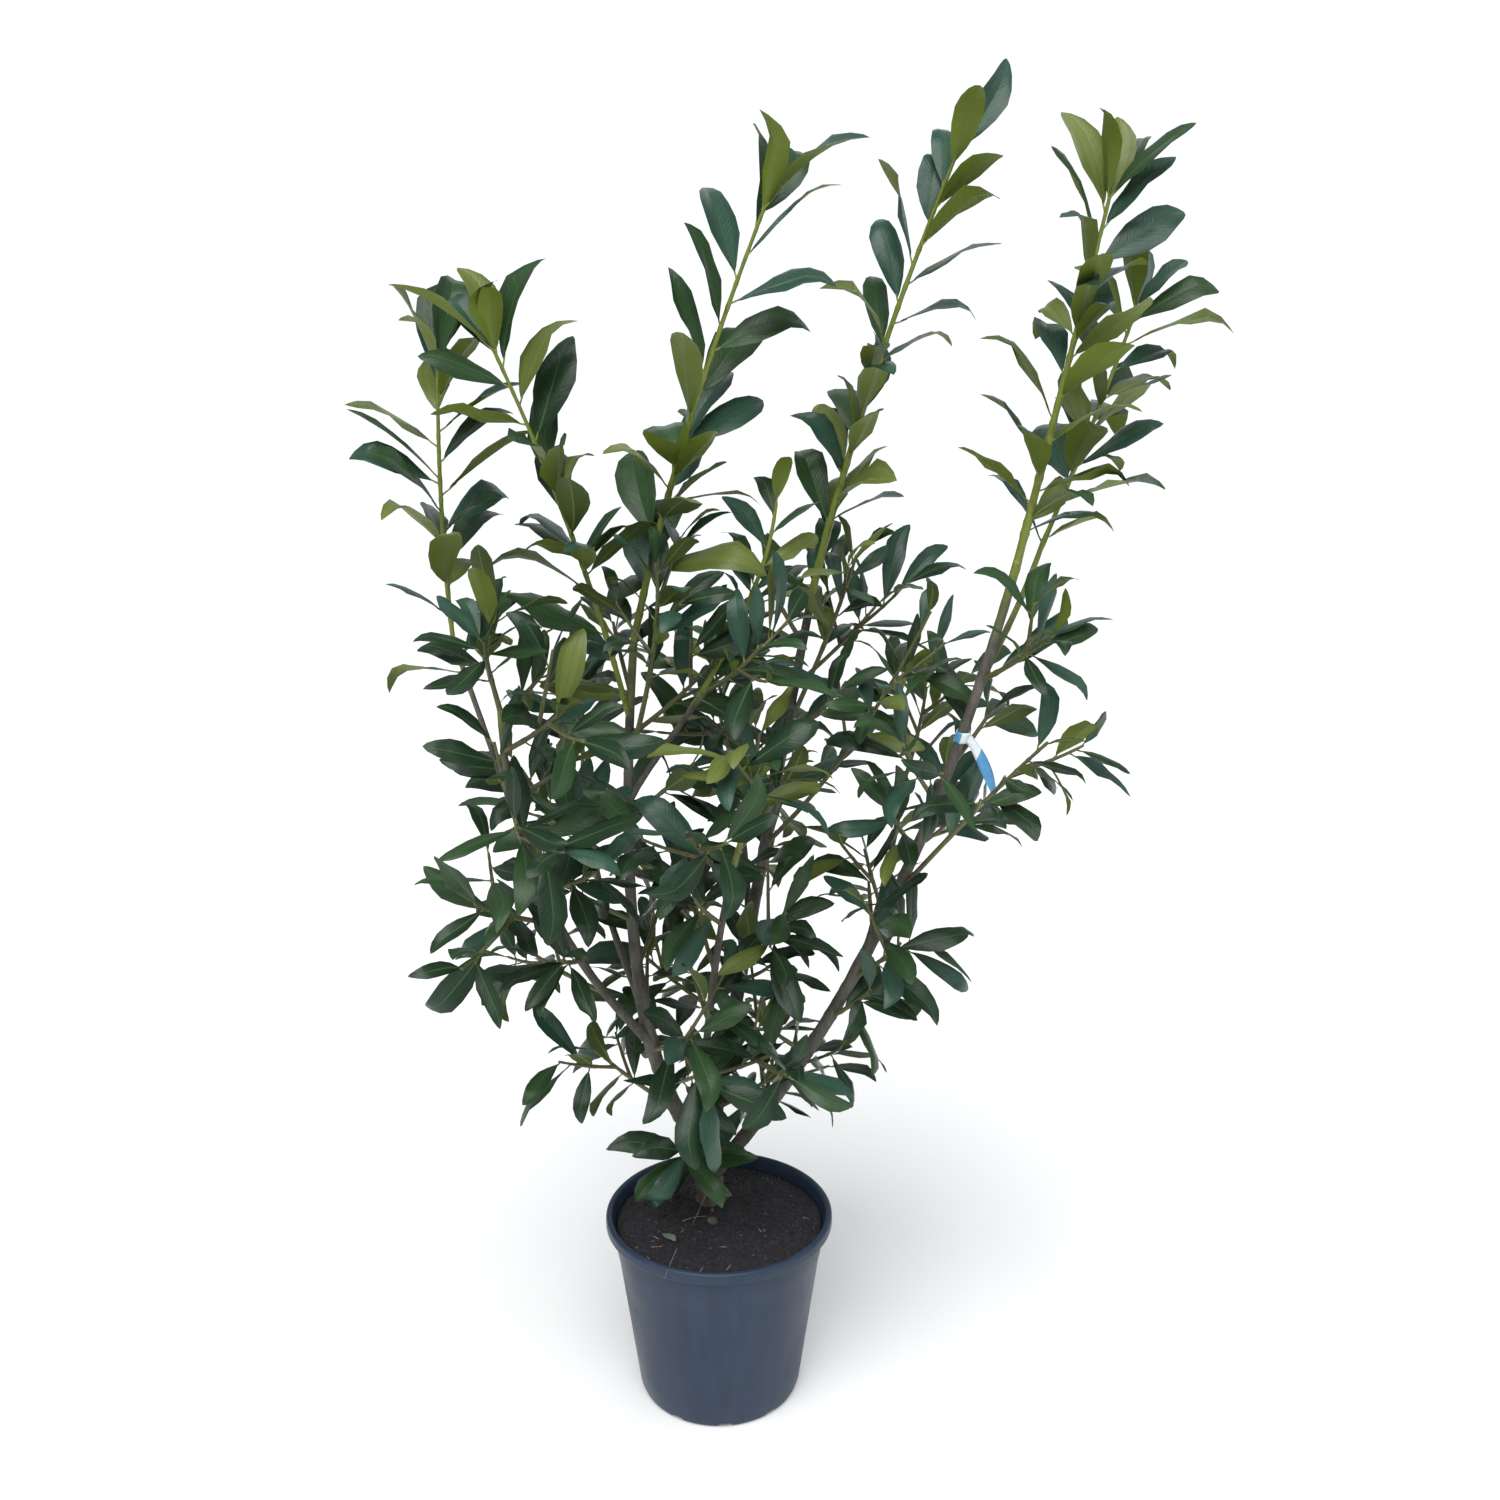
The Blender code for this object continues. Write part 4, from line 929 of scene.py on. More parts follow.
def soil_material(name, colour, lighter, scale=160.0):
    """Moist compost: nearly black, with browner crumbs and a dull damp sheen."""
    material, nodes, shader = new_material(name)
    crumbs = two_tones(nodes, colour, lighter, scale, 0.45, 0.72)["Color"]
    damp = patches(nodes, 24.0, 0.4, 0.65)
    feed(nodes, shader, Base_Color=crumbs, Roughness=nodes.ramp(damp, 0, 1, 0.70, 0.95),
         Normal=nodes.bump(grain(nodes, 700.0, 170.0, 0.4), 1.0, 0.003))
    return material


def film_material(name, colour, creased):
    """Thin glossy label film, creased and a little dirty."""
    material, nodes, shader = new_material(name)
    tone = two_tones(nodes, colour, creased, 110.0, 0.50, 0.78)
    feed(nodes, shader, Base_Color=tone["Color"], Roughness=nodes.ramp(tone["Mask"], 0, 1, 0.24, 0.42),
         Normal=nodes.bump(grain(nodes, 500.0, 130.0, 0.3), 0.5, 0.0012))
    return material


# A blade's outline: half-width shares at these shares of its length, for a leaf widest past and at its middle.
BLADE_ROWS = np.array([0.06, 0.19, 0.36, 0.54, 0.71, 0.86, 0.955])
WIDE_PAST = np.array([0.17, 0.46, 0.79, 0.99, 0.96, 0.70, 0.36])
WIDE_MID = np.array([0.26, 0.62, 0.93, 1.00, 0.84, 0.54, 0.25])
# The columns of the upper side, and of the lower side between the margins, as shares of the half-width. RIB
# stands for the midrib's own width.
RIB = 9.0
UPPER_COLUMNS = (-1.0, -0.52, -RIB, RIB, 0.52, 1.0)
LOWER_COLUMNS = (-0.52, -RIB, RIB, 0.52)
ROW_POINTS = len(UPPER_COLUMNS) + len(LOWER_COLUMNS)
# A blade's first point is its foot, and its second one its tip.
LEAF_VERTS = 2 + len(BLADE_ROWS) * ROW_POINTS
# The midrib's half-width near its foot, and how far it sinks into the upper side and stands out of the lower.
RIB_WIDTH = 0.0011
RIB_SINK = 0.00022
RIB_RISE = 0.0006
# How much of the solids' arch a blade keeps.
ARCH_GAIN = 0.9
# How many numbers are drawn for each blade, the share of blades with a notch, and the half-width left there.
BLADE_DRAWS = 13
NOTCHED = 0.05
NOTCH_LEFT = 0.45


def row_point(row, column):
    return 2 + row * ROW_POINTS + column


def blade_faces():
    """The faces of one leaf, and each face's part: 0 outer, 1 inner, 2 midrib, 3 to 5 the same underneath."""
    faces, parts = [], []
    for under, columns in enumerate(((0, 1, 2, 3, 4, 5), (0, 6, 7, 8, 9, 5))):
        sheet = [[row_point(row, column) for column in columns] for row in range(len(BLADE_ROWS))]
        for column, part in enumerate((0, 1, 2, 1, 0)):
            quads = [(0, sheet[0][column + 1], sheet[0][column])]
            for low, high in zip(sheet[:-1], sheet[1:]):
                quads.append((low[column], low[column + 1], high[column + 1], high[column]))
            quads.append((sheet[-1][column], sheet[-1][column + 1], 1))
            faces.extend((quad[0], *quad[:0:-1]) if under else quad for quad in quads)
            parts.extend([part + 3 * under] * len(quads))
    return faces, parts


BLADE_FACES, BLADE_PARTS = blade_faces()


class Blade(namedtuple("Blade", "leaf tint young shoot seed")):
    """A leaf with its spray's tint, whether it is young, whether a long shoot bears it, and its curl's seed."""


def blade_points(blades, settings):
    """The points of all blades, one row of the array for each leaf, and each point's place on its blade."""
    count = len(blades)
    draws = np.array([seeded_draws(blade.seed) for blade in blades])
    base = rows_of(blade.leaf.base for blade in blades)
    along = rows_of(blade.leaf.along for blade in blades)
    face = rows_of(blade.leaf.face for blade in blades)
    side = np.cross(along, face)
    length = np.array([blade.leaf.length for blade in blades])
    arch = np.array([blade.leaf.arch for blade in blades]) * ARCH_GAIN
    young = np.array([float(blade.young) for blade in blades])
    shoot = np.array([float(blade.shoot) for blade in blades])
    slim = settings.slimness * (0.90 + 0.24 * draws[:, 1]) * (1 - 0.13 * shoot)
    width = length / slim
    fold = 0.10 + 0.42 * draws[:, 2] ** 1.6 + 0.12 * young
    droop = 0.10 + 0.35 * draws[:, 3]
    wave = 0.05 + 0.16 * draws[:, 4]
    phase = 2 * math.pi * draws[:, 5]
    twist = math.radians(40) * (draws[:, 6] - 0.5) * 2
    recurve = (0.02 + 0.15 * draws[:, 7] ** 1.4) * (1 + 0.5 * shoot)
    hook = 0.14 * (draws[:, 8] - 0.5) * 2
    bend = 0.045 * (draws[:, 9] - 0.5) * 2
    blend = draws[:, 10]
    stalk = np.array([stalk_share(blade, settings) for blade in blades])
    notch_row = 3 + (draws[:, 12] * 1000).astype(int) % 3

    points = np.zeros((count, LEAF_VERTS, 3))
    spread = np.zeros((count, LEAF_VERTS))
    reach = np.zeros((count, LEAF_VERTS))

    def centre(share):
        """Along, across and up of the blade's middle line, in shares of the leaf's length."""
        way = stalk + (1 - stalk) * share
        late = np.clip((share - 0.64) / 0.36, 0, 1) ** 2
        up = 4 * arch * way * (1 - way) - recurve * late
        across = hook * late + bend * np.sin(math.pi * way)
        ahead = way - 0.5 * recurve * late
        return ahead, across, up

    def put(index, share, column, half, lift):
        """Sets one point of every blade: its share of the length, its column, the half-width and the height."""
        ahead, across, up = centre(share)
        on_rib = abs(column) == RIB
        if on_rib:
            x = math.copysign(1, column) * np.minimum(RIB_WIDTH * (1.15 - share), half * 0.45)
        else:
            x = column * half
        rim = np.abs(x) / np.maximum(half, 1e-6)
        beat = 2 * math.pi * 1.6 * share + phase + (1.9 if column > 0 else 0.0)
        z = fold * np.abs(x) - droop * half * rim ** 2.2 + wave * half * rim ** 1.5 * np.sin(beat)
        x = x * (1 - 0.16 * fold * rim)
        turn = twist * (share - 0.30)
        turned_x = x * np.cos(turn) - z * np.sin(turn)
        turned_z = x * np.sin(turn) + z * np.cos(turn) + lift
        points[:, index] = (base + along * (ahead * length)[:, None]
                            + side * (across * length + turned_x)[:, None]
                            + face * (up * length + turned_z)[:, None])
        spread[:, index] = 0.5 + 0.5 * (0.0 if on_rib else column)
        reach[:, index] = share

    def margin(row, where):
        """What uneven growth, and a notch on some leaves, leave of the half-width at the margin."""
        own = np.sin(phase * (3 + 2 * row) + 40 * where) * 0.5 + 0.5
        notched = (draws[:, 12] < NOTCHED) & (row == notch_row) & (where > 0)
        return np.where(notched, NOTCH_LEFT, 1 - 0.035 * own)

    half_thick = settings.thickness / 2
    for index, share in enumerate((0.0, 1.0)):
        put(index, share, 0.0, np.full(count, 1e-6), 0.0)
    for row, share in enumerate(BLADE_ROWS):
        half = width / 2 * (WIDE_PAST[row] * (1 - blend) + WIDE_MID[row] * blend)
        for column, where in enumerate(UPPER_COLUMNS):
            on_margin = abs(where) == 1.0
            lift = 0.0 if on_margin else half_thick - RIB_SINK if abs(where) == RIB else half_thick
            put(row_point(row, column), share, where, half * margin(row, where) if on_margin else half, lift)
        for column, where in enumerate(LOWER_COLUMNS, len(UPPER_COLUMNS)):
            rise = RIB_RISE * (1.1 - share) if abs(where) == RIB else 0.0
            put(row_point(row, column), share, where, half, -half_thick - rise)
    return points, spread, reach


@functools.lru_cache(maxsize=None)
def seeded_draws(seed):
    rng = random.Random(seed * 7 + 3)
    return tuple(rng.random() for _ in range(BLADE_DRAWS))


def stalk_share(blade, settings):
    """The share of a leaf's length that is stalk."""
    return settings.stalk * (0.85 + 0.4 * seeded_draws(blade.seed)[11])


def build_blades(name, blades, materials, settings):
    """One mesh of many leaves, with the materials in the order of the leaf slots."""
    points, spread, reach = blade_points(blades, settings)
    count = len(blades)
    starts = np.arange(count) * LEAF_VERTS
    flat = np.array([index for face in BLADE_FACES for index in face])
    loops = (starts[:, None] + flat[None, :]).ravel()
    sizes = np.tile([len(face) for face in BLADE_FACES], count)
    mesh = bpy.data.meshes.new(name)
    mesh.vertices.add(count * LEAF_VERTS)
    mesh.vertices.foreach_set("co", points.astype(np.float32).ravel())
    mesh.loops.add(len(loops))
    mesh.loops.foreach_set("vertex_index", loops.astype(np.int32))
    mesh.polygons.add(len(sizes))
    mesh.polygons.foreach_set("loop_start", np.concatenate([[0], np.cumsum(sizes)[:-1]]).astype(np.int32))
    slots = np.array([blade_slots(blade) for blade in blades], dtype=np.int32)
    mesh.polygons.foreach_set("material_index", slots[:, BLADE_PARTS].ravel())
    mesh.update(calc_edges=True)
    mesh.shade_smooth()
    layer = mesh.uv_layers.new(name="blade")
    both = np.stack([spread.ravel()[loops], reach.ravel()[loops]], axis=1)
    layer.data.foreach_set("uv", both.astype(np.float32).ravel())
    mark_margins(mesh)
    for material in materials:
        mesh.materials.append(material)
    mesh.validate()
    return link(bpy.data.objects.new(name, mesh))


def mark_margins(mesh):
    """Makes the edges along both margins of every blade hard."""
    edges = np.zeros(len(mesh.edges) * 2, dtype=np.int32)
    mesh.edges.foreach_get("vertices", edges)
    ends = edges.reshape(-1, 2) % LEAF_VERTS
    margin = np.zeros((LEAF_VERTS, LEAF_VERTS), dtype=bool)
    for column in (0, len(UPPER_COLUMNS) - 1):
        line = [0] + [row_point(row, column) for row in range(len(BLADE_ROWS))] + [1]
        for low, high in zip(line[:-1], line[1:]):
            margin[low, high] = margin[high, low] = True
    sharp = mesh.attributes.new("sharp_edge", "BOOLEAN", "EDGE")
    sharp.data.foreach_set("value", margin[ends[:, 0], ends[:, 1]])


# Each tint of the upper side: its gains on the upper colour, the inner tone's gain, both roughnesses, the wax.
Tint = namedtuple("Tint", "gains inner gloss inner_gloss waxy")
TINTS = {
    # The grown leaf's dark green, which also stands for painted shade low down on the plant.
    "deep": Tint((1, 1, 1), 1.22, 0.33, 0.30, 0.25),
    "mid": Tint((1.9, 1.75, 1.4), 1.2, 0.34, 0.31, 0.2),
    # A painted bluish sheen of the sky on the upper side, given as a plain colour.
    "blue": Tint((2.1, 2.1, 3.3), 1.2, 0.31, 0.29, 0.35),
    "young": Tint((9.5, 4.6, 2.4), 1.2, 0.36, 0.34, 0.15),
}
# The colour and roughness of each midrib.
RIBS = {
    "rib_grown": ((0.050, 0.096, 0.042), 0.40),
    "rib_young": ((0.115, 0.165, 0.048), 0.42),
    "rib_under": ((0.200, 0.235, 0.060), 0.48),
}
# Slots of a leaf mesh: each tint with its inner tone, then the undersides, then the ribs.
LEAF_SLOTS = (*(tint + part for tint in TINTS for part in ("", "_inner")), "under_grown", "under_young", *RIBS)


def blade_slots(blade):
    """The slots of a blade's six parts, in the order of their numbers in blade_faces."""
    rib = "rib_young" if blade.tint == "young" else "rib_grown"
    under, under_rib = ("under_young", "rib_young") if blade.young else ("under_grown", "rib_under")
    names = (blade.tint, blade.tint + "_inner", rib, under, under, under_rib)
    return [LEAF_SLOTS.index(name) for name in names]


def leaf_materials(leaf):
    """The skins of all leaves, in the order of the slots."""
    made = []
    for name, tint in TINTS.items():
        outer = toned(leaf.upper, *tint.gains)
        made.append(leaf_material(f"leaf_{name}", outer, tint.gloss, tint.waxy))
        made.append(leaf_material(f"leaf_{name}_inner", toned(outer, tint.inner), tint.inner_gloss, tint.waxy))
    made.append(leaf_material("leaf_under", leaf.under, 0.55, veins=-0.35))
    made.append(leaf_material("leaf_under_young", toned(leaf.under, 1.75, 1.65, 0.8), 0.52, veins=-0.35))
    return made + [leaf_material(name, colour, gloss, veins=0.0) for name, (colour, gloss) in RIBS.items()]


# The finer growth that the solids leave out.

# What ends the name of a finer shoot that no solid stands for, and how its growth differs from a row's.
BETWEEN = "_between"
BETWEEN_ROWS = ROWS[:-3]
BETWEEN_SWING = 70
BETWEEN_SLIDE = 0.02
BETWEEN_STEM = 0.8
BETWEEN_LEAF = 0.9
# The share of a further leaf next to its twig that no clearance test counts.
FINE_FOOT = 0.05
# How many upright leaves a long shoot's tip has at most besides those of the solids, the share of such a leaf
# next to the tip where it may lie on its neighbours, how many are tried and the degrees from one to the next.
TIP_FANS = {"inner_left_shoot": 4, "far_left_shoot": 2, "left_shoot": 2, "right_shoot": 3, "far_right_shoot": 2}
TIP_ROOT = 0.34
TIP_TRIES = 24
TIP_TURN = 110
# Masses whose stems are young.
YOUNG = ("left_shoot", "centre_shoot", "right_shoot", "far_right_shoot", "far_left_shoot", "inner_left_shoot",
         "inner_sprig")
# All leaves of such a mass over this height are young.
YOUNG_HEIGHT = 1.17
# Heads whose newest leaves are still pale.
FRESH_HEADS = ("front_head", "centre_fork_shoot")


def finer_leaves(mass, stems, leaves, crown, rng, settings):
    """Further leaves on a mass's own stem and twigs, between those of the solids and within their reach."""
    low, high, gain = (0.02, 0.62, 1.25) if mass.bare else (0.15, 0.97, 1.0)
    target = int(len(leaves) * settings.more * gain)
    added = []
    for _ in range(target * 6):
        if len(added) >= target:
            break
        arc = rng.choice(stems)
        share = rng.uniform(low, high)
        length = mass.leaf_length * settings.shorter * rng.uniform(0.70, 1.05)
        slope = math.radians(mass.slope * (1 - 0.35 * share**4) + rng.uniform(-10, 12))
        leaf = leaf_at(arc, share, rng.uniform(0, 360), length, slope, rng)
        leaf = leaf._replace(width=leaf.length / settings.slimness)
        if in_reach(mass, leaf) and take_leaf(mass, leaf, crown, FINE_FOOT):
            added.append(leaf)
    return added


def tip_leaves(mass, crown, rng, settings):
    """The newest leaves of a long shoot, which stand nearly upright round its tip."""
    added = []
    for attempt in range(TIP_TRIES):
        if len(added) >= TIP_FANS.get(mass.name, 0):
            break
        length = mass.leaf_length * settings.shorter * rng.uniform(0.78, 0.98)
        slope = math.radians(rng.uniform(20, 34))
        leaf = leaf_at(mass.arc, 0.985, attempt * TIP_TURN, length, slope, rng)
        leaf = leaf._replace(width=leaf.length / settings.slimness)
        if take_leaf(mass, leaf, crown, FINE_FOOT, TIP_ROOT):
            added.append(leaf)
    return added


def bough_below(mass, arcs):
    """The last stretch of the bough that a long shoot grows on from, which still bears leaves."""
    bough = arcs[mass.parent]
    if not mass.bare or (bough.tip - mass.arc.foot).length > 0.02:
        return []
    return [Arc(point_on(bough, 0.78), point_on(bough, 0.90), bough.tip)]


def shoots_between(arcs, crown):
    """Finer side shoots halfway between those of a row, each with its own leaves, wherever there is room."""
    found = []
    for row in BETWEEN_ROWS:
        fine = row._replace(length=row.length * BETWEEN_STEM)
        for step in range(row.count):
            seed = GROWTH_SEED * 3 + 100 * ROWS.index(row) + step
            name = f"{row.name}_{step + 1}{BETWEEN}"
            parent = arcs[row.parent]
            rng = random.Random(seed)
            arc = seat_stem(name, fine, parent, step + 0.5, BETWEEN_SWING, BETWEEN_SLIDE, rng, crown)
            if arc:
                mass = side_mass(name, row, arc, seed)
                mass = mass._replace(leaf_length=SIDE_LEAF_LENGTH * BETWEEN_LEAF, twigs=0)
                found.append((mass, [], mass_leaves(mass, [], crown)))
    return found


@functools.lru_cache(maxsize=1)
def grown_plant():
    """The limbs' arcs and each mass with its stems and its leaves: the solids' own, and finer ones between."""
    settings = bpy.context.scene.laurel_leaves
    arcs, grown, crown = grow_crown()
    grown += shoots_between(arcs, crown)
    plant = []
    for index, (mass, twigs, leaves) in enumerate(grown):
        stems = [mass.arc] + twigs
        leafy = stems + bough_below(mass, arcs)
        added = finer_leaves(mass, leafy, leaves, crown, random.Random(GROWTH_SEED * 5 + index), settings)
        gain = 1.0 if mass.bare else settings.shorter
        own = [leaf._replace(length=leaf.length * gain) for leaf in leaves]
        plant.append((mass, stems, own + added))
    for index, (mass, _, leaves) in enumerate(plant):
        leaves += tip_leaves(mass, crown, random.Random(GROWTH_SEED * 6 + index), settings)
    return arcs, plant


def tint_and_painted_light(mass, leaf, rng):
    """The tint of a leaf by its place, which paints light and shade: bluer up on the right, a painted bluish
    sheen; deeper low down, painted shade; lighter on the long shoots, painted light; some of them fresher.
    """
    fresh = 0.24 if mass.name in YOUNG else 0.45 if mass.name in FRESH_HEADS else 0.03
    if rng.random() < fresh:
        return "young"
    high = within((leaf.base.z - 0.55) / 0.9)
    right = within((leaf.base.x + 0.30) / 0.8)
    # The chance of the painted bluish sheen, which rises with height, towards the right and on the long shoots.
    blue = 0.12 + 0.55 * high * (0.35 + 0.65 * right) + (0.15 if mass.bare else 0.0)
    draw = rng.random()
    if draw < blue:
        return "blue"
    # Lighter tints go more often to the long shoots at the top, as painted light; the deep tint is left mostly
    # low down, as painted shade.
    return "mid" if draw < blue + (0.45 if mass.bare else 0.30) else "deep"


def path_mesh(name, paths):
    """An edge mesh of many open paths with the radius at each point in the attribute 'thickness'."""
    points, edges, radii = [], [], []
    for path, sizes in paths:
        start = len(points)
        points.extend(tuple(point) for point in path)
        radii.extend(sizes)
        edges.extend((start + step, start + step + 1) for step in range(len(path) - 1))
    mesh = bpy.data.meshes.new(name)
    mesh.from_pydata(points, edges, [])
    layer = mesh.attributes.new("thickness", "FLOAT", "POINT")
    layer.data.foreach_set("value", radii)
    mesh.update()
    return link(bpy.data.objects.new(name, mesh))


@built_once("round_stems")
def stem_tree(name):
    """Geometry Nodes that turn paths into round tapering stems, closed at both ends."""
    tree, nodes, given = new_group(
        name, "GeometryNodeTree",
        [("Paths", "NodeSocketGeometry", None), ("Sides", "NodeSocketInt", 8),
         ("Skin", "NodeSocketMaterial", None)],
        [("Stems", "NodeSocketGeometry")])
    size = nodes.result("GeometryNodeInputNamedAttribute", {"Name": "thickness"}, data_type="FLOAT")
    line = nodes.result("GeometryNodeMeshToCurve", {"Mesh": given["Paths"]})
    ring = nodes.result("GeometryNodeCurvePrimitiveCircle", {"Resolution": given["Sides"], "Radius": 1.0})
    tube = nodes.result("GeometryNodeCurveToMesh", {"Curve": line, "Profile Curve": ring, "Scale": size,
                                                    "Fill Caps": True})
    soft = nodes.result("GeometryNodeSetShadeSmooth", {"Geometry": tube})
    plain = nodes.result("GeometryNodeRealizeInstances", {"Geometry": soft})
    skinned = nodes.result("GeometryNodeSetMaterial", {"Geometry": plain, "Material": given["Skin"]})
    nodes.add("NodeGroupOutput", {"Stems": skinned})
    return tree


def keep_result(obj, modifier):
    """Makes what a modifier gives the object's plain mesh, and takes the modifier off."""
    bpy.context.view_layer.update()
    graph = bpy.context.evaluated_depsgraph_get()
    mesh = bpy.data.meshes.new_from_object(obj.evaluated_get(graph))
    if not mesh.polygons:
        raise RuntimeError(f"{obj.name} came out empty")
    obj.modifiers.remove(modifier)
    spent = obj.data
    obj.data = mesh
    bpy.data.meshes.remove(spent)


def run_tree(obj, tree, **inputs):
    """Runs a Geometry Nodes tree on an object, and keeps its result as the object's plain mesh."""
    modifier = obj.modifiers.new(tree.name, "NODES")
    modifier.node_group = tree
    sockets = {item.name: item.identifier for item in tree.interface.items_tree if item.in_out == "INPUT"}
    for key, value in inputs.items():
        modifier[sockets[key]] = value
    keep_result(obj, modifier)


# The half-length of a stem's swelling at a leaf and of an old leaf scar, and how far the swelling stands out.
NODE_LENGTH = 0.0035
NODE_RISE = 0.22
# The distance between a stem's points, and a stalk's radii from its twig to under the blade.
STEM_SPACING = 0.006
STALK_RADII = (0.0016, 0.0012, 0.0010, 0.0004)


def swell(gap, length):
    """A bell of height one and of this half-length, at this distance from its middle."""
    return math.exp(-((gap / length) ** 2))


def swollen_path(arc, foot_radius, tip_radius, swellings):
    """Points and radii along an arc, with a slight swelling where each leaf sits."""
    length = (arc.tip - arc.foot).length
    steps = max(6, int(length / STEM_SPACING))
    path, sizes = [], []
    for step in range(steps + 1):
        share = step / steps
        radius = foot_radius + (tip_radius - foot_radius) * share
        for where in swellings:
            radius *= 1 + NODE_RISE * swell((share - where) * length, NODE_LENGTH)
        path.append(point_on(arc, share))
        sizes.append(radius)
    return path, sizes


def share_on(arc, point):
    """The share of an arc nearest to a point."""
    shares = [step / 40 for step in range(41)]
    return min(shares, key=lambda share: (point_on(arc, share) - point).length_squared)


def stalk_path(leaf, blade_start):
    """A leaf stalk from inside its twig to under the blade's midrib."""
    way = []
    for share in (0.0, blade_start * 0.5, blade_start + 0.012, blade_start + 0.10):
        up = 4 * leaf.arch * ARCH_GAIN * share * (1 - share) * leaf.length
        sink = 0.0006 if share > blade_start else 0.0
        way.append(leaf.base + leaf.along * (leaf.length * share) + leaf.face * (up - sink))
    return way, STALK_RADII


# How far a bough's leaf scars are apart, and how far one stands out.
SCAR_GAPS = (0.024, 0.048)
SCAR_RISE = 0.11
# How far a bough widens at its own foot and where another leaves it, and over what half-length.
FOOT_RISE, FOOT_LENGTH = 0.42, 0.020
FORK_RISE, FORK_LENGTH = 0.13, 0.022
# Bark turns young from this height over this much more of it, and where a bough is thinner than this.
YOUNG_WOOD_FROM = 0.86
YOUNG_WOOD_DEPTH = 0.26
THIN_RADIUS = 0.0085


def leaf_scars(length, rng):
    """Where old leaf scars sit along a bough, and at what angle round it."""
    scars = []
    where = 0.03
    while where < length:
        scars.append((where, rng.uniform(0, 2 * math.pi)))
        where += rng.uniform(*SCAR_GAPS)
    return scars


def bark_noise(place, seed):
    """Lengthwise roughness with a finer one over it."""
    rough = noise.noise(Vector((place.x * 90 + seed, place.y * 90, place.z * 26)))
    fine = noise.noise(Vector((place.x * 260, place.y * 260 + seed, place.z * 110)))
    return rough + 0.45 * fine


def bark_rings(limb, arc, wood):
    """The points of one bough's rings: tapering, knobbly at its leaf scars and widened where it forks."""
    length = (arc.tip - arc.foot).length
    steps = max(10, int(length / wood.spacing))
    seed = sum(ord(letter) for letter in limb.name)
    scars = leaf_scars(length, random.Random(seed))
    forks = [other.where * length for other in LIMBS if other.parent == limb.name and other.where < 0.97]
    points = np.zeros((steps + 1, wood.sides, 3))
    youth = np.zeros((steps + 1, wood.sides))
    for step in range(steps + 1):
        share = step / steps
        centre, tangent = point_on(arc, share), tangent_on(arc, share)
        along = share * length
        radius = limb_radius(limb, share)
        if limb.parent:
            radius *= 1 + FOOT_RISE * swell(along, FOOT_LENGTH)
        for fork in forks:
            radius *= 1 + FORK_RISE * swell(along - fork, FORK_LENGTH)
        high = within((centre.z - YOUNG_WOOD_FROM) / YOUNG_WOOD_DEPTH)
        late = within((share - 0.72) / 0.28)
        thin = within((THIN_RADIUS - radius) / 0.004)
        old = 1 - 0.6 * max(high, late * 0.7)
        youth[step] = max(high * max(thin, 0.35), late * 0.75 * thin, high * high)
        for side in range(wood.sides):
            turn = 360 * side / wood.sides
            way = radial(tangent, turn)
            own = radius
            for scar, angle in scars:
                if abs(along - scar) < 3 * NODE_LENGTH:
                    facing = 0.5 + 0.5 * math.cos(math.radians(turn) - angle)
                    own *= 1 + SCAR_RISE * swell(along - scar, NODE_LENGTH) * facing
            own *= 1 + wood.relief * old * bark_noise(centre + way * radius, seed)
            points[step, side] = tuple(centre + way * own)
    ends = (point_on(arc, 0), point_on(arc, 1) + tangent_on(arc, 1) * 0.001)
    return points, youth, ends


def ring_faces(start, rings, sides):
    """The faces of a tube of rings whose two end points come after its rings."""
    faces = []
    for ring in range(rings - 1):
        for side in range(sides):
            low = start + ring * sides + side
            turned = start + ring * sides + (side + 1) % sides
            faces.append((low, turned, turned + sides, low + sides))
    foot = start + rings * sides
    for side in range(sides):
        after = (side + 1) % sides
        faces.append((foot, start + after, start + side))
        last = start + (rings - 1) * sides
        faces.append((foot + 1, last + side, last + after))
    return faces


def add_ring(points, steps, radius, height):
    """Adds a ring of points round Z, at one height or at the one that a function of x and y gives."""
    ring = list(range(len(points), len(points) + steps))
    for step in range(steps):
        angle = 2 * math.pi * step / steps
        x, y = radius * math.cos(angle), radius * math.sin(angle)
        points.append((x, y, height(x, y) if callable(height) else height))
    return ring


def lathe(name, profile, steps):
    """A closed body turned round Z from a profile that runs up the outside and down the inside to the axis."""
    points, faces, rings = [], [], []
    for radius, height in profile:
        if radius == 0:
            rings.append([len(points)])
            points.append((0, 0, height))
        else:
            rings.append(add_ring(points, steps, radius, height))
    for low, high in zip(rings[:-1], rings[1:]):
        for step in range(steps):
            after = (step + 1) % steps
            if len(low) == 1:
                faces.append((low[0], high[after], high[step]))
            elif len(high) == 1:
                faces.append((low[step], low[after], high[0]))
            else:
                faces.append((low[step], low[after], high[after], high[step]))
    return new_mesh(name, points, faces)


def soften_by_angle(obj, angle):
    """Smooth shading with hard edges where faces meet at more than this angle."""
    work = bmesh.new()
    work.from_mesh(obj.data)
    for face in work.faces:
        face.smooth = True
    for edge in work.edges:
        edge.smooth = len(edge.link_faces) == 2 and edge.calc_face_angle(0) < angle
    work.to_mesh(obj.data)
    work.free()


def round_corner(centre, radius, first, last, count):
    """Points on an arc of a profile, for a rolled edge."""
    turns = [math.radians(first + (last - first) * step / count) for step in range(count + 1)]
    return [(centre[0] + radius * math.cos(turn), centre[1] + radius * math.sin(turn)) for turn in turns]


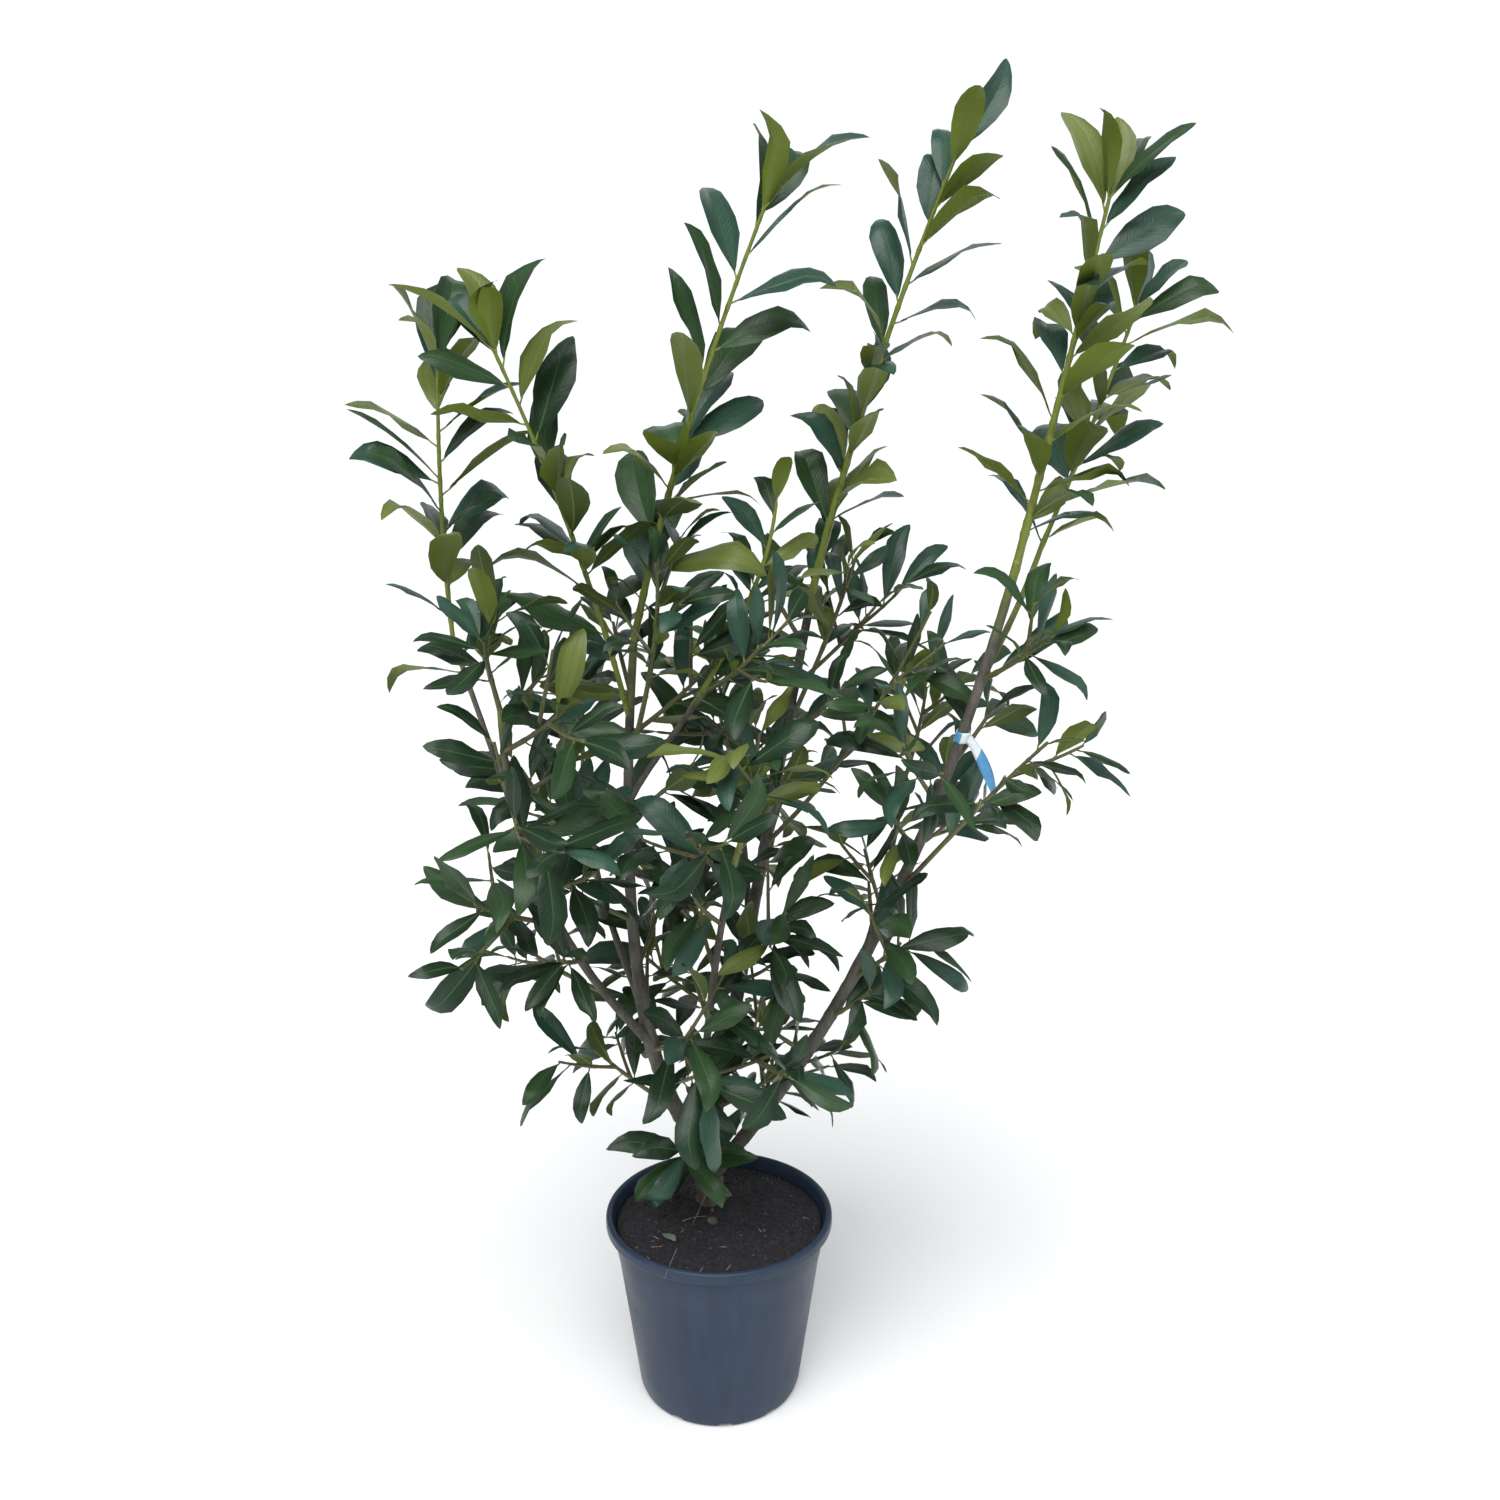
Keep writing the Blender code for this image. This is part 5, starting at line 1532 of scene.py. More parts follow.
# The heights of the step under the pot's collar and of the lip under its rim, and the radius between them.
STEP_HEIGHT = POT_HEIGHT - COLLAR_DROP
LIP_HEIGHT = POT_HEIGHT - RIM_DROP
NECK_RADIUS = RIM_RADIUS - RIM_OVERHANG
# How far the middle of the underside is off the floor, and the rounds of the foot, the lip and the rim.
UNDER_HOLLOW = 0.0008
FOOT_EDGE = 0.0065
LIP_EDGE = 0.0026
RIM_EDGE = 0.0042


def wall_radius(height):
    low = FOOT_ROUND * 2
    top = STEP_HEIGHT - 0.003
    return BASE_RADIUS + (BODY_TOP_RADIUS - COLLAR_STEP - BASE_RADIUS) * (height - low) / (top - low)


def pot_outline():
    """The pot's profile from the middle of its underside up the outside, over the rim and down the inside."""
    foot = wall_radius(0) - 0.006
    outline = [(0, UNDER_HOLLOW), (0.030, UNDER_HOLLOW), (foot - 0.014, UNDER_HOLLOW), (foot - 0.011, 0.0)]
    outline += round_corner((foot - 0.001, FOOT_EDGE), FOOT_EDGE, -90, -8, 6)
    outline += [(wall_radius(height), height) for height in (0.012, 0.040, 0.080, 0.120, 0.160, 0.185)]
    outline += [(wall_radius(STEP_HEIGHT - 0.008), STEP_HEIGHT - 0.008),
                (wall_radius(STEP_HEIGHT) + 0.0008, STEP_HEIGHT),
                (BODY_TOP_RADIUS + 0.0003, STEP_HEIGHT + 0.009),
                (BODY_TOP_RADIUS + 0.0015, STEP_HEIGHT + 0.018),
                (NECK_RADIUS - 0.0006, LIP_HEIGHT - 0.004), (NECK_RADIUS, LIP_HEIGHT - 0.0012),
                (NECK_RADIUS + 0.0008, LIP_HEIGHT - 0.0003)]
    outline += round_corner((RIM_RADIUS - LIP_EDGE, LIP_HEIGHT + LIP_EDGE), LIP_EDGE, -90, 0, 4)
    outline += [(RIM_RADIUS, LIP_HEIGHT + 0.006), (RIM_RADIUS - 0.0003, POT_HEIGHT - RIM_EDGE)]
    outline += round_corner((RIM_RADIUS - 0.0043, POT_HEIGHT - RIM_EDGE), RIM_EDGE, 0, 100, 6)
    outline += [(RIM_RADIUS - 0.0072, POT_HEIGHT - 0.0006), (RIM_RADIUS - 0.0086, POT_HEIGHT - 0.0022),
                (RIM_RADIUS - 0.0096, POT_HEIGHT - 0.0055), (NECK_RADIUS - WALL + 0.0006, LIP_HEIGHT + 0.002),
                (NECK_RADIUS - WALL, LIP_HEIGHT - 0.004), (BODY_TOP_RADIUS - WALL + 0.001, STEP_HEIGHT + 0.008),
                (wall_radius(STEP_HEIGHT) - WALL, STEP_HEIGHT - 0.001), (wall_radius(0.10) - WALL, 0.10),
                (wall_radius(0.010) - WALL, 0.010), (wall_radius(WALL) - WALL - 0.004, WALL), (0, WALL)]
    return outline


# Half the floor's side.
FLOOR_REACH = 9
# The sky's colour, and how bright the backdrop is to the camera alone.
SKY_COLOUR = (0.92, 0.96, 1.0, 1)
BACKDROP = 1.12
SUN_WAY = Vector((0.16, 0.66, -1.0))
SUN_ANGLE = math.radians(60)
# Each window light: its name, place, size and colour. They shine on the middle of the plant.
WINDOWS = (
    ("window_right", (2.8, -0.6, 2.6), 2.4, (0.86, 0.93, 1.0)),
    ("window_back", (0.4, 2.8, 3.2), 2.8, (0.95, 0.98, 1.0)),
)
PLANT_MIDDLE = Vector((0.05, 0, 0.75))


def add_floor(stage):
    """The pale floor."""
    corners = [(-FLOOR_REACH, -FLOOR_REACH, 0), (FLOOR_REACH, -FLOOR_REACH, 0),
               (FLOOR_REACH, FLOOR_REACH, 0), (-FLOOR_REACH, FLOOR_REACH, 0)]
    floor = new_mesh("studio_floor", corners, [(0, 1, 2, 3)])
    material, nodes, shader = new_material("studio_paper")
    tone = two_tones(nodes, stage.floor_colour, toned(stage.floor_colour, 0.985), 1.2, 0.4, 0.6)["Color"]
    feed(nodes, shader, Base_Color=tone, Roughness=0.9)
    floor.data.materials.append(material)


def add_sky(scene):
    """Even light from all sides. The paper behind the plant is seen as white, but lights the plant less."""
    world = bpy.data.worlds.new("studio_sky")
    world.use_nodes = True
    sky = world.node_tree.nodes["Background"]
    nodes = Nodes(world.node_tree)
    straight = nodes.add("ShaderNodeLightPath").outputs["Is Camera Ray"]
    shown = nodes.ramp(straight, 0.0, 1.0, scene.laurel_stage.sky_strength, BACKDROP)
    nodes.fill(sky.inputs, {"Color": SKY_COLOUR, "Strength": shown})
    scene.world = world


def add_light(name, kind, power, way, place=(0, 0, 0)):
    light = bpy.data.lights.new(name, kind)
    light.energy = power
    lamp = link(bpy.data.objects.new(name, light))
    lamp.location = place
    lamp.rotation_euler = way.to_track_quat("-Z", "Y").to_euler()
    return light


def add_camera(scene):
    """The photo's camera, as it was fitted to the pot."""
    camera = bpy.data.cameras.new("photo_camera")
    camera.lens = CAMERA_LENS
    camera.sensor_width = 36
    camera.sensor_fit = "HORIZONTAL"
    seen = link(bpy.data.objects.new("photo_camera", camera))
    seen.location = CAMERA_PLACE
    seen.rotation_euler = (CAMERA_TILT, 0, 0)
    scene.camera = seen
    scene.view_settings.view_transform = "Standard"


class LAUREL_OT_stage(Operator):
    """Sets up the pale floor, the soft studio light and the photo's camera."""

    bl_idname = "laurel.stage"
    bl_label = "Studio"

    def execute(self, context):
        stage = context.scene.laurel_stage
        add_floor(stage)
        add_sky(context.scene)
        add_light("high_light", "SUN", stage.sun_strength, SUN_WAY).angle = SUN_ANGLE
        for name, place, size, tone in WINDOWS:
            light = add_light(name, "AREA", stage.window_power, PLANT_MIDDLE - Vector(place), place)
            light.shape = "SQUARE"
            light.size = size
            light.color = tone
        add_camera(context.scene)
        return {"FINISHED"}


def slot_cutters():
    """The blocks that cut the drain slots round the foot, each with its upper edges rounded."""
    work = bmesh.new()
    for index in range(DRAIN_SLOTS):
        turn = SLOT_PHASE + 2 * math.pi * index / DRAIN_SLOTS
        cube = bmesh.ops.create_cube(work, size=1)["verts"]
        bmesh.ops.scale(work, vec=(0.026, SLOT_WIDTH * 1.15, 2 * SLOT_HEIGHT), verts=cube)
        near = [edge for edge in work.edges if all(vertex in cube for vertex in edge.verts)
                and abs(edge.verts[0].co.x - edge.verts[1].co.x) > 0.01 and edge.verts[0].co.z > 0]
        made = bmesh.ops.bevel(work, geom=near, offset=0.0025, segments=3, affect="EDGES")
        cube = list({vertex for vertex in cube if vertex.is_valid} | set(made["verts"]))
        bmesh.ops.rotate(work, matrix=Matrix.Rotation(turn, 3, "Z"), verts=cube)
        out = Vector((math.cos(turn), math.sin(turn), 0)) * (BASE_RADIUS + 0.003)
        bmesh.ops.translate(work, vec=out, verts=cube)
    mesh = bpy.data.meshes.new("slots")
    work.to_mesh(mesh)
    work.free()
    return link(bpy.data.objects.new("slots", mesh))


class LAUREL_OT_pot(Operator):
    """Turns the grower's pot, cuts the drain slots round its foot and gives it satin plastic."""

    bl_idname = "laurel.pot"
    bl_label = "Pot"

    def execute(self, context):
        settings = context.scene.laurel_pot
        pot = lathe("grower_pot", pot_outline(), settings.steps)
        slots = slot_cutters()
        cut = pot.modifiers.new("slots", "BOOLEAN")
        cut.operation = "DIFFERENCE"
        cut.solver = "EXACT"
        cut.object = slots
        keep_result(pot, cut)
        bpy.data.objects.remove(slots)
        soften_by_angle(pot, math.radians(38))
        pot.data.materials.clear()
        pot.data.materials.append(pot_material(settings))
        finish_piece(pot, "pot_plastic", "pot")
        return {"FINISHED"}


def soil_height(x, y, lump):
    """The compost's surface: level, lumpy, lower towards the rim and heaped a little round the stems."""
    out = math.hypot(x, y)
    edge = within((out - SOIL_FLAT_RADIUS) / 0.062)
    level = SOIL_LEVEL - SOIL_EDGE_DROP * edge + 0.004 * math.exp(-((out / 0.05) ** 2))
    place = Vector((x * 34, y * 34, 3.1))
    rough = noise.noise(place) * 0.75 + noise.noise(place * 2.7) * 0.45 + noise.noise(place * 6.1) * 0.22
    return level + lump * rough * (1 - 0.4 * edge)


# Points round each ring of the compost, and the rings' number from the middle to the wall.
SOIL_STEPS = 96
SOIL_RINGS = 30
# What is strewn on the compost: share of the crumbs' number, size, spread of sizes, height and length against
# width, tilt either way and skin.
STREWN = {
    "crumbs": (1.0, 0.0011, 0.75, 0.8, 1.0, 3.1, "crumb"),
    "clods": (0.045, 0.0030, 0.6, 0.75, 1.0, 3.1, "crumb"),
    "pebbles": (0.012, 0.0023, 0.6, 0.6, 1.0, 3.1, "pebble"),
    "straw": (0.018, 0.00055, 0.5, 0.7, 9.0, 0.25, "straw"),
}


def compost_mesh(lump):
    """The compost as one closed mesh, and how many of its points are its open surface."""
    points, faces = [], []
    neck = NECK_RADIUS - WALL - 2 * GAP
    surface = [neck * (share / SOIL_RINGS) ** 0.9 for share in range(1, SOIL_RINGS)]
    rings = [add_ring(points, SOIL_STEPS, radius, lambda x, y: soil_height(x, y, lump))
             for radius in surface + [neck - 0.0004]]
    rings += [add_ring(points, SOIL_STEPS, radius, height) for radius, height in (
        (BODY_TOP_RADIUS - WALL + 0.001 - 2 * GAP, STEP_HEIGHT + 0.008),
        (wall_radius(STEP_HEIGHT) - WALL - 2 * GAP, STEP_HEIGHT - 0.001),
        (wall_radius(0.010) - WALL - 2 * GAP, 0.010),
        (wall_radius(WALL) - WALL - 0.0045, WALL + GAP),
    )]
    middle, under = len(points), len(points) + 1
    points += [(0, 0, soil_height(0, 0, lump)), (0, 0, WALL + GAP)]
    after = [(turn + 1) % SOIL_STEPS for turn in range(SOIL_STEPS)]
    for low, high in zip(rings[:-1], rings[1:]):
        faces.extend((low[turn], high[turn], high[then], low[then]) for turn, then in enumerate(after))
    for turn, then in enumerate(after):
        faces.append((middle, rings[0][turn], rings[0][then]))
        faces.append((under, rings[-1][then], rings[-1][turn]))
    return points, faces, len(surface) * SOIL_STEPS


class LAUREL_OT_soil(Operator):
    """Fills the pot with lumpy compost, strewn with crumbs, pebbles and bits of straw."""

    bl_idname = "laurel.soil"
    bl_label = "Soil"

    def execute(self, context):
        settings = context.scene.laurel_soil
        points, faces, count = compost_mesh(settings.lump)
        soil = new_mesh("compost", points, faces)
        soil.data.materials.append(soil_material("compost", settings.colour, (0.034, 0.028, 0.030)))
        finish_piece(soil, "soil", "soil")

        field = [face for face in faces if max(face) < count]
        skins = {
            "crumb": soil_material("crumb", (0.014, 0.012, 0.013), (0.060, 0.047, 0.045), 300.0),
            "pebble": soil_material("pebble", (0.070, 0.056, 0.048), (0.150, 0.120, 0.100), 120.0),
            "straw": wood_material("dry_straw", (0.25, 0.20, 0.15), (0.11, 0.09, 0.07), 210.0, 0.65),
        }
        for number, (name, strewn) in enumerate(STREWN.items()):
            share, size, spread, flat, long, tilt, skin = strewn
            obj = new_mesh(name, points[:count], field)
            run_tree(obj, strewn_tree(), Density=settings.crumbs * share, Size=size, Spread=spread, Flat=flat,
                     Long=long, Tilt=tilt, Seed=settings.seed + number, Skin=skins[skin])
            finish_piece(obj, "soil")
        lay_litter(settings, skins["pebble"], skins["straw"])
        return {"FINISHED"}


# What lies singly on the compost: a stone, a shred of an old leaf and dry stalks, one of them over the rim.
STONE_PLACE = (-0.008, -0.020)
STONE_RADIUS = 0.0075
SHRED_PLACE = (-0.076, -0.046)
SHRED_LENGTH = 0.030
SHRED_SEED = 77
# Each stalk: foot, bend, tip and radius.
STALKS = (
    ((-0.052, -0.082, 0.246), (-0.056, -0.115, 0.2540), (-0.064, -0.1505, 0.2495), 0.0007),
    ((-0.012, 0.036, 0.275), (-0.018, 0.012, 0.262), (-0.034, -0.024, 0.246), 0.0008),
    ((-0.048, -0.020, 0.246), (-0.034, -0.012, 0.249), (-0.018, -0.008, 0.246), 0.0006),
)


def lay_litter(soil, stone_skin, straw_skin):
    """Lays the single stone, the shred of leaf and the dry stalks on the compost."""
    lay_stone(soil, stone_skin)
    lay_shred(soil)
    paths = []
    for foot, bend, tip, radius in STALKS:
        arc = Arc(Vector(foot), Vector(bend), Vector(tip))
        radii = [radius * (1 - 0.05 * step) for step in range(11)]
        paths.append(([point_on(arc, step / 10) for step in range(11)], radii))
    stalks = path_mesh("dry_stalks", paths)
    run_tree(stalks, stem_tree(), Sides=6, Skin=straw_skin)
    finish_piece(stalks, "soil")


def lay_stone(soil, skin):
    work = bmesh.new()
    bmesh.ops.create_icosphere(work, subdivisions=3, radius=STONE_RADIUS)
    ground = soil_height(*STONE_PLACE, soil.lump)
    for vertex in work.verts:
        dent = 1 + 0.16 * noise.noise(vertex.co * 160)
        vertex.co = Vector((vertex.co.x * dent, vertex.co.y * 0.85 * dent, vertex.co.z * 0.72 * dent))
        vertex.co += Vector((*STONE_PLACE, ground + STONE_RADIUS * 0.35))
    mesh = bpy.data.meshes.new("stone")
    work.to_mesh(mesh)
    work.free()
    mesh.shade_smooth()
    stone = link(bpy.data.objects.new("stone", mesh))
    stone.data.materials.append(skin)
    finish_piece(stone, "soil")


def lay_shred(soil):
    """A pale shred of an old leaf, which stands on its edge."""
    base = Vector((*SHRED_PLACE, soil_height(*SHRED_PLACE, soil.lump) + 0.004))
    leaf = Leaf(base, Vector((0.78, -0.60, 0.12)).normalized(), Vector((0.0, -0.25, 0.95)).normalized(),
                SHRED_LENGTH, SHRED_LENGTH / 2, 0.1)
    skins = [leaf_material("old_leaf", (0.110, 0.150, 0.105), 0.6)] * len(LEAF_SLOTS)
    settings = bpy.context.scene.laurel_leaves
    shred = build_blades("leaf_shred", [Blade(leaf, "deep", False, False, SHRED_SEED)], skins, settings)
    finish_piece(shred, "soil")


@built_once("strewn_lumps")
def strewn_tree(name):
    """Geometry Nodes that strew small uneven lumps or stalks on a surface, each of twenty faces."""
    tree, nodes, given = new_group(
        name, "GeometryNodeTree",
        [("Ground", "NodeSocketGeometry", None), ("Density", "NodeSocketFloat", 9000.0),
         ("Size", "NodeSocketFloat", 0.001), ("Spread", "NodeSocketFloat", 0.6),
         ("Flat", "NodeSocketFloat", 0.8), ("Long", "NodeSocketFloat", 1.0), ("Tilt", "NodeSocketFloat", 3.1),
         ("Seed", "NodeSocketInt", 0), ("Skin", "NodeSocketMaterial", None)],
        [("Lumps", "NodeSocketGeometry")])
    places = nodes.result("GeometryNodeDistributePointsOnFaces", {
        "Mesh": given["Ground"], "Density": given["Density"], "Seed": given["Seed"]})
    ball = nodes.result("GeometryNodeMeshIcoSphere", {"Radius": 1.0, "Subdivisions": 1})
    back = nodes.math("MULTIPLY", given["Tilt"], -1.0)
    lowest = nodes.result("ShaderNodeCombineXYZ", {0: back, 1: back, 2: 0.0})
    highest = nodes.result("ShaderNodeCombineXYZ", {0: given["Tilt"], 1: given["Tilt"], 2: 6.3})
    turn = nodes.result("FunctionNodeRandomValue", {0: lowest, 1: highest, "Seed": given["Seed"]},
                        data_type="FLOAT_VECTOR")
    least = nodes.math("SUBTRACT", 1.0, given["Spread"])
    most = nodes.math("ADD", 1.0, nodes.math("MULTIPLY", given["Spread"], 1.6))
    draw = nodes.add("FunctionNodeRandomValue", {2: 0.0, 3: 1.0, "Seed": given["Seed"]}, data_type="FLOAT")
    skew = nodes.math("POWER", draw.outputs[1], 2.2)
    gain = nodes.math("ADD", least, nodes.math("MULTIPLY", skew, nodes.math("SUBTRACT", most, least)))
    size = nodes.math("MULTIPLY", gain, given["Size"])
    sides = (given["Long"], 0.8, given["Flat"])
    scale = nodes.result("ShaderNodeCombineXYZ", {
        axis: nodes.math("MULTIPLY", size, share) for axis, share in enumerate(sides)})
    set_out = nodes.result("GeometryNodeInstanceOnPoints", {
        "Points": places, "Instance": ball, "Rotation": turn, "Scale": scale})
    plain = nodes.result("GeometryNodeRealizeInstances", {"Geometry": set_out})
    place = nodes.result("GeometryNodeInputPosition")
    rough = nodes.add("ShaderNodeTexNoise", {"Vector": place, "Scale": 520.0, "Detail": 1.0}).outputs["Color"]
    centred = nodes.result("ShaderNodeVectorMath", {0: rough, 1: (0.5, 0.5, 0.5)}, operation="SUBTRACT")
    reach = nodes.math("MULTIPLY", given["Size"], 1.6)
    push = nodes.result("ShaderNodeVectorMath", {0: centred, "Scale": reach}, operation="SCALE")
    uneven = nodes.result("GeometryNodeSetPosition", {"Geometry": plain, "Offset": push})
    whole = nodes.result("GeometryNodeRealizeInstances", {"Geometry": uneven})
    skinned = nodes.result("GeometryNodeSetMaterial", {"Geometry": whole, "Material": given["Skin"]})
    nodes.add("NodeGroupOutput", {"Lumps": skinned})
    return tree


class LAUREL_OT_bark(Operator):
    """Grows the trunk and boughs with the bark's relief, scars and collars, greener towards their tips."""

    bl_idname = "laurel.bark"
    bl_label = "Trunk and boughs"

    def execute(self, context):
        wood = context.scene.laurel_wood
        arcs, _ = grown_plant()
        points, faces, youth = [], [], []
        for limb in LIMBS:
            ring_points, ring_youth, ends = bark_rings(limb, arcs[limb.name], wood)
            start = len(points)
            points.extend(map(tuple, ring_points.reshape(-1, 3)))
            youth.extend(ring_youth.ravel())
            points.extend(tuple(end) for end in ends)
            youth.extend((ring_youth[0, 0], ring_youth[-1, 0]))
            faces.extend(ring_faces(start, len(ring_points), wood.sides))
        bark = new_mesh("bark", points, faces)
        layer = bark.data.attributes.new("youth", "FLOAT", "POINT")
        layer.data.foreach_set("value", youth)
        bark.data.materials.append(bark_material(wood))
        finish_piece(bark, "bark", *[limb.name for limb in LIMBS])
        return {"FINISHED"}


# A leaf counts as seated on a stem within this distance of its axis.
NODE_REACH = 0.004
# The thinning of the solids' tips: of a mass's own stem, and of its twigs.
STEM_TIP_GAIN = 0.85
TWIG_TIP_GAIN = 0.7


def leaf_nodes(arc, leaves):
    """The shares of an arc at which leaves sit on it."""
    seats = [(share_on(arc, leaf.base), leaf.base) for leaf in leaves]
    return sorted({share for share, base in seats if (point_on(arc, share) - base).length < NODE_REACH})


def stem_paths():
    """The paths and radii of all stems, twigs and leaf stalks, by the piece that they belong to."""
    paths = {"young_shoots": [], "side_shoots": [], "young_stalks": [], "leaf_stalks": []}
    _, plant = grown_plant()
    for mass, stems, leaves in plant:
        shoots = paths["young_shoots" if mass.name in YOUNG else "side_shoots"]
        for index, arc in enumerate(stems):
            radius, gain = (TWIG_RADIUS, TWIG_TIP_GAIN) if index else (mass.radius, STEM_TIP_GAIN)
            shoots.append(swollen_path(arc, radius, STEM_TIP_RADIUS * gain, leaf_nodes(arc, leaves)))
    for blade in all_blades():
        stalks = paths["young_stalks" if blade.young else "leaf_stalks"]
        stalks.append(stalk_path(blade.leaf, stalk_share(blade, bpy.context.scene.laurel_leaves)))
    return paths


class LAUREL_OT_twigs(Operator):
    """Grows the stems and twigs of every spray, and the stalks of the leaves."""

    bl_idname = "laurel.twigs"
    bl_label = "Twigs and stalks"

    def execute(self, context):
        shoot = context.scene.laurel_wood.shoot
        kinds = {
            "young_shoots": (10, "shoot_skin", shoot, toned(shoot, 0.6), 150.0, 0.40),
            "side_shoots": (8, "twig_skin", (0.115, 0.120, 0.045), (0.095, 0.070, 0.045), 120.0, 0.50),
            "young_stalks": (5, "stalk_young", (0.245, 0.285, 0.060), (0.170, 0.200, 0.040), 200.0, 0.42),
            "leaf_stalks": (5, "stalk_grown", (0.150, 0.185, 0.055), (0.095, 0.120, 0.035), 200.0, 0.45),
        }
        paths = stem_paths()
        for name, (sides, *skin) in kinds.items():
            obj = path_mesh(name, paths[name])
            run_tree(obj, stem_tree(), Sides=sides, Skin=wood_material(*skin))
            finish_piece(obj, "young_leaves" if name.startswith("young") else "leaves")
        return {"FINISHED"}


# A blade's seed is its number within its mass, and the mass's number times this.
MASS_SEEDS = 1000


@functools.lru_cache(maxsize=1)
def all_blades():
    """Every leaf of the plant as a blade with its tint, mass by mass."""
    _, plant = grown_plant()
    blades = []
    for index, (mass, _, leaves) in enumerate(plant):
        rng = random.Random(GROWTH_SEED * 11 + index)
        for number, leaf in enumerate(leaves):
            tint = tint_and_painted_light(mass, leaf, rng)
            young = (mass.name in YOUNG and leaf.base.z > YOUNG_HEIGHT) or (
                index < len(LEADERS) and rng.random() < 0.30)
            blades.append(Blade(leaf, tint, young, mass.bare, index * MASS_SEEDS + number))
    return blades


# How the masses are shared out among the pieces of foliage.
SPRAY_PIECES = {
    "foliage_left": ("left_", "outer_left_", "far_left_", "inner_left_"),
    "foliage_middle": ("centre_", "inner_head", "inner_sprig"),
    "foliage_right": ("right_", "far_right_"),
    "foliage_front": ("front_", "foot_"),
    "foliage_back": ("back_",),
}


def piece_of(name):
    return next(piece for piece, starts in SPRAY_PIECES.items() if name.startswith(starts))


class LAUREL_OT_leaves(Operator):
    """Grows every leaf of the crown, joined side by side of the plant."""

    bl_idname = "laurel.leaves"
    bl_label = "Leaves"

    def execute(self, context):
        settings = context.scene.laurel_leaves
        materials = leaf_materials(settings)
        _, plant = grown_plant()
        shared = {piece: [] for piece in SPRAY_PIECES}
        for blade in all_blades():
            mass = plant[blade.seed // MASS_SEEDS][0]
            shared[piece_of(mass.name)].append(blade)
        for piece, blades in shared.items():
            obj = build_blades(piece, blades, materials, settings)
            names = [mass.name for mass, *_ in plant
                     if piece_of(mass.name) == piece and not mass.name.endswith(BETWEEN)]
            finish_piece(obj, "leaves", *names)
        return {"FINISHED"}


# The label's film. A point's place over the width is a share of half the width.
FILM_THICKNESS = 0.0003
# Steps round the loop, its columns over its width and the steps that are blue.
BAND_STEPS = 40
BAND_COLUMNS = (-1.0, -0.5, 0.0, 0.5, 1.0)
BAND_BLUE = range(24, 32)
# Steps along the strip, its columns over its width and the steps that are white like the loop.
STRIP_STEPS = 26
STRIP_COLUMNS = (-1.0, -0.33, 0.33, 1.0)
STRIP_WHITE = range(7)
WHITE, BLUE = 0, 1


def label_band(seat, across):
    """The points, faces and film of the loop: pinched where the strip leaves it, slanting and creased."""
    centre, tangent, side, radius = seat
    points, faces, films = [], [], []
    for turn in range(BAND_STEPS):
        angle = 2 * math.pi * turn / BAND_STEPS
        out = side * math.cos(angle) + across * math.sin(angle)
        pinch = 1 + 0.16 * max(0.0, math.cos(angle)) ** 3
        slant = tangent * (0.0022 * math.sin(angle + 0.6))
        for where in BAND_COLUMNS:
            crease = 0.0004 * math.sin(7 * angle + 2.2 * where)
            points.append(centre + slant + out * (radius * pinch + FILM_THICKNESS + crease)
                          + tangent * (where * TAG_WIDTH / 2))
    wide = len(BAND_COLUMNS)
    for turn in range(BAND_STEPS):
        low, high = turn * wide, (turn + 1) % BAND_STEPS * wide
        for column in range(wide - 1):
            faces.append((low + column, high + column, high + column + 1, low + column + 1))
            films.append(BLUE if turn in BAND_BLUE else WHITE)
    return points, faces, films


def label_strip(arcs, seat, across, start):
    """The points, faces and film of the hanging strip, which turns and curls as it falls."""
    tangent = seat[1]
    points, faces, films = [], [], []
    for station in range(STRIP_STEPS + 1):
        share = station / STRIP_STEPS
        middle = tag_point(arcs, share * 1.12)
        flat = (tangent * (1 - share) + across * share).normalized()
        twisted = Matrix.Rotation(math.radians(25 * share * share), 3, UP) @ flat
        half = TAG_WIDTH / 2 * (0.8 + 0.5 * math.sin(math.pi * share) if share < 0.9 else 1.9 - share)
        out = UP.cross(twisted).normalized()
        for where in STRIP_COLUMNS:
            curl = 0.0011 * math.sin(5.2 * share + 1.1 * where) + 0.0012 * where * where
            points.append(middle + twisted * (where * half) + out * curl)
    wide = len(STRIP_COLUMNS)
    for station in range(STRIP_STEPS):
        for column in range(wide - 1):
            low = start + station * wide + column
            faces.append((low, low + 1, low + wide + 1, low + wide))
            films.append(WHITE if station in STRIP_WHITE else BLUE)
    return points, faces, films


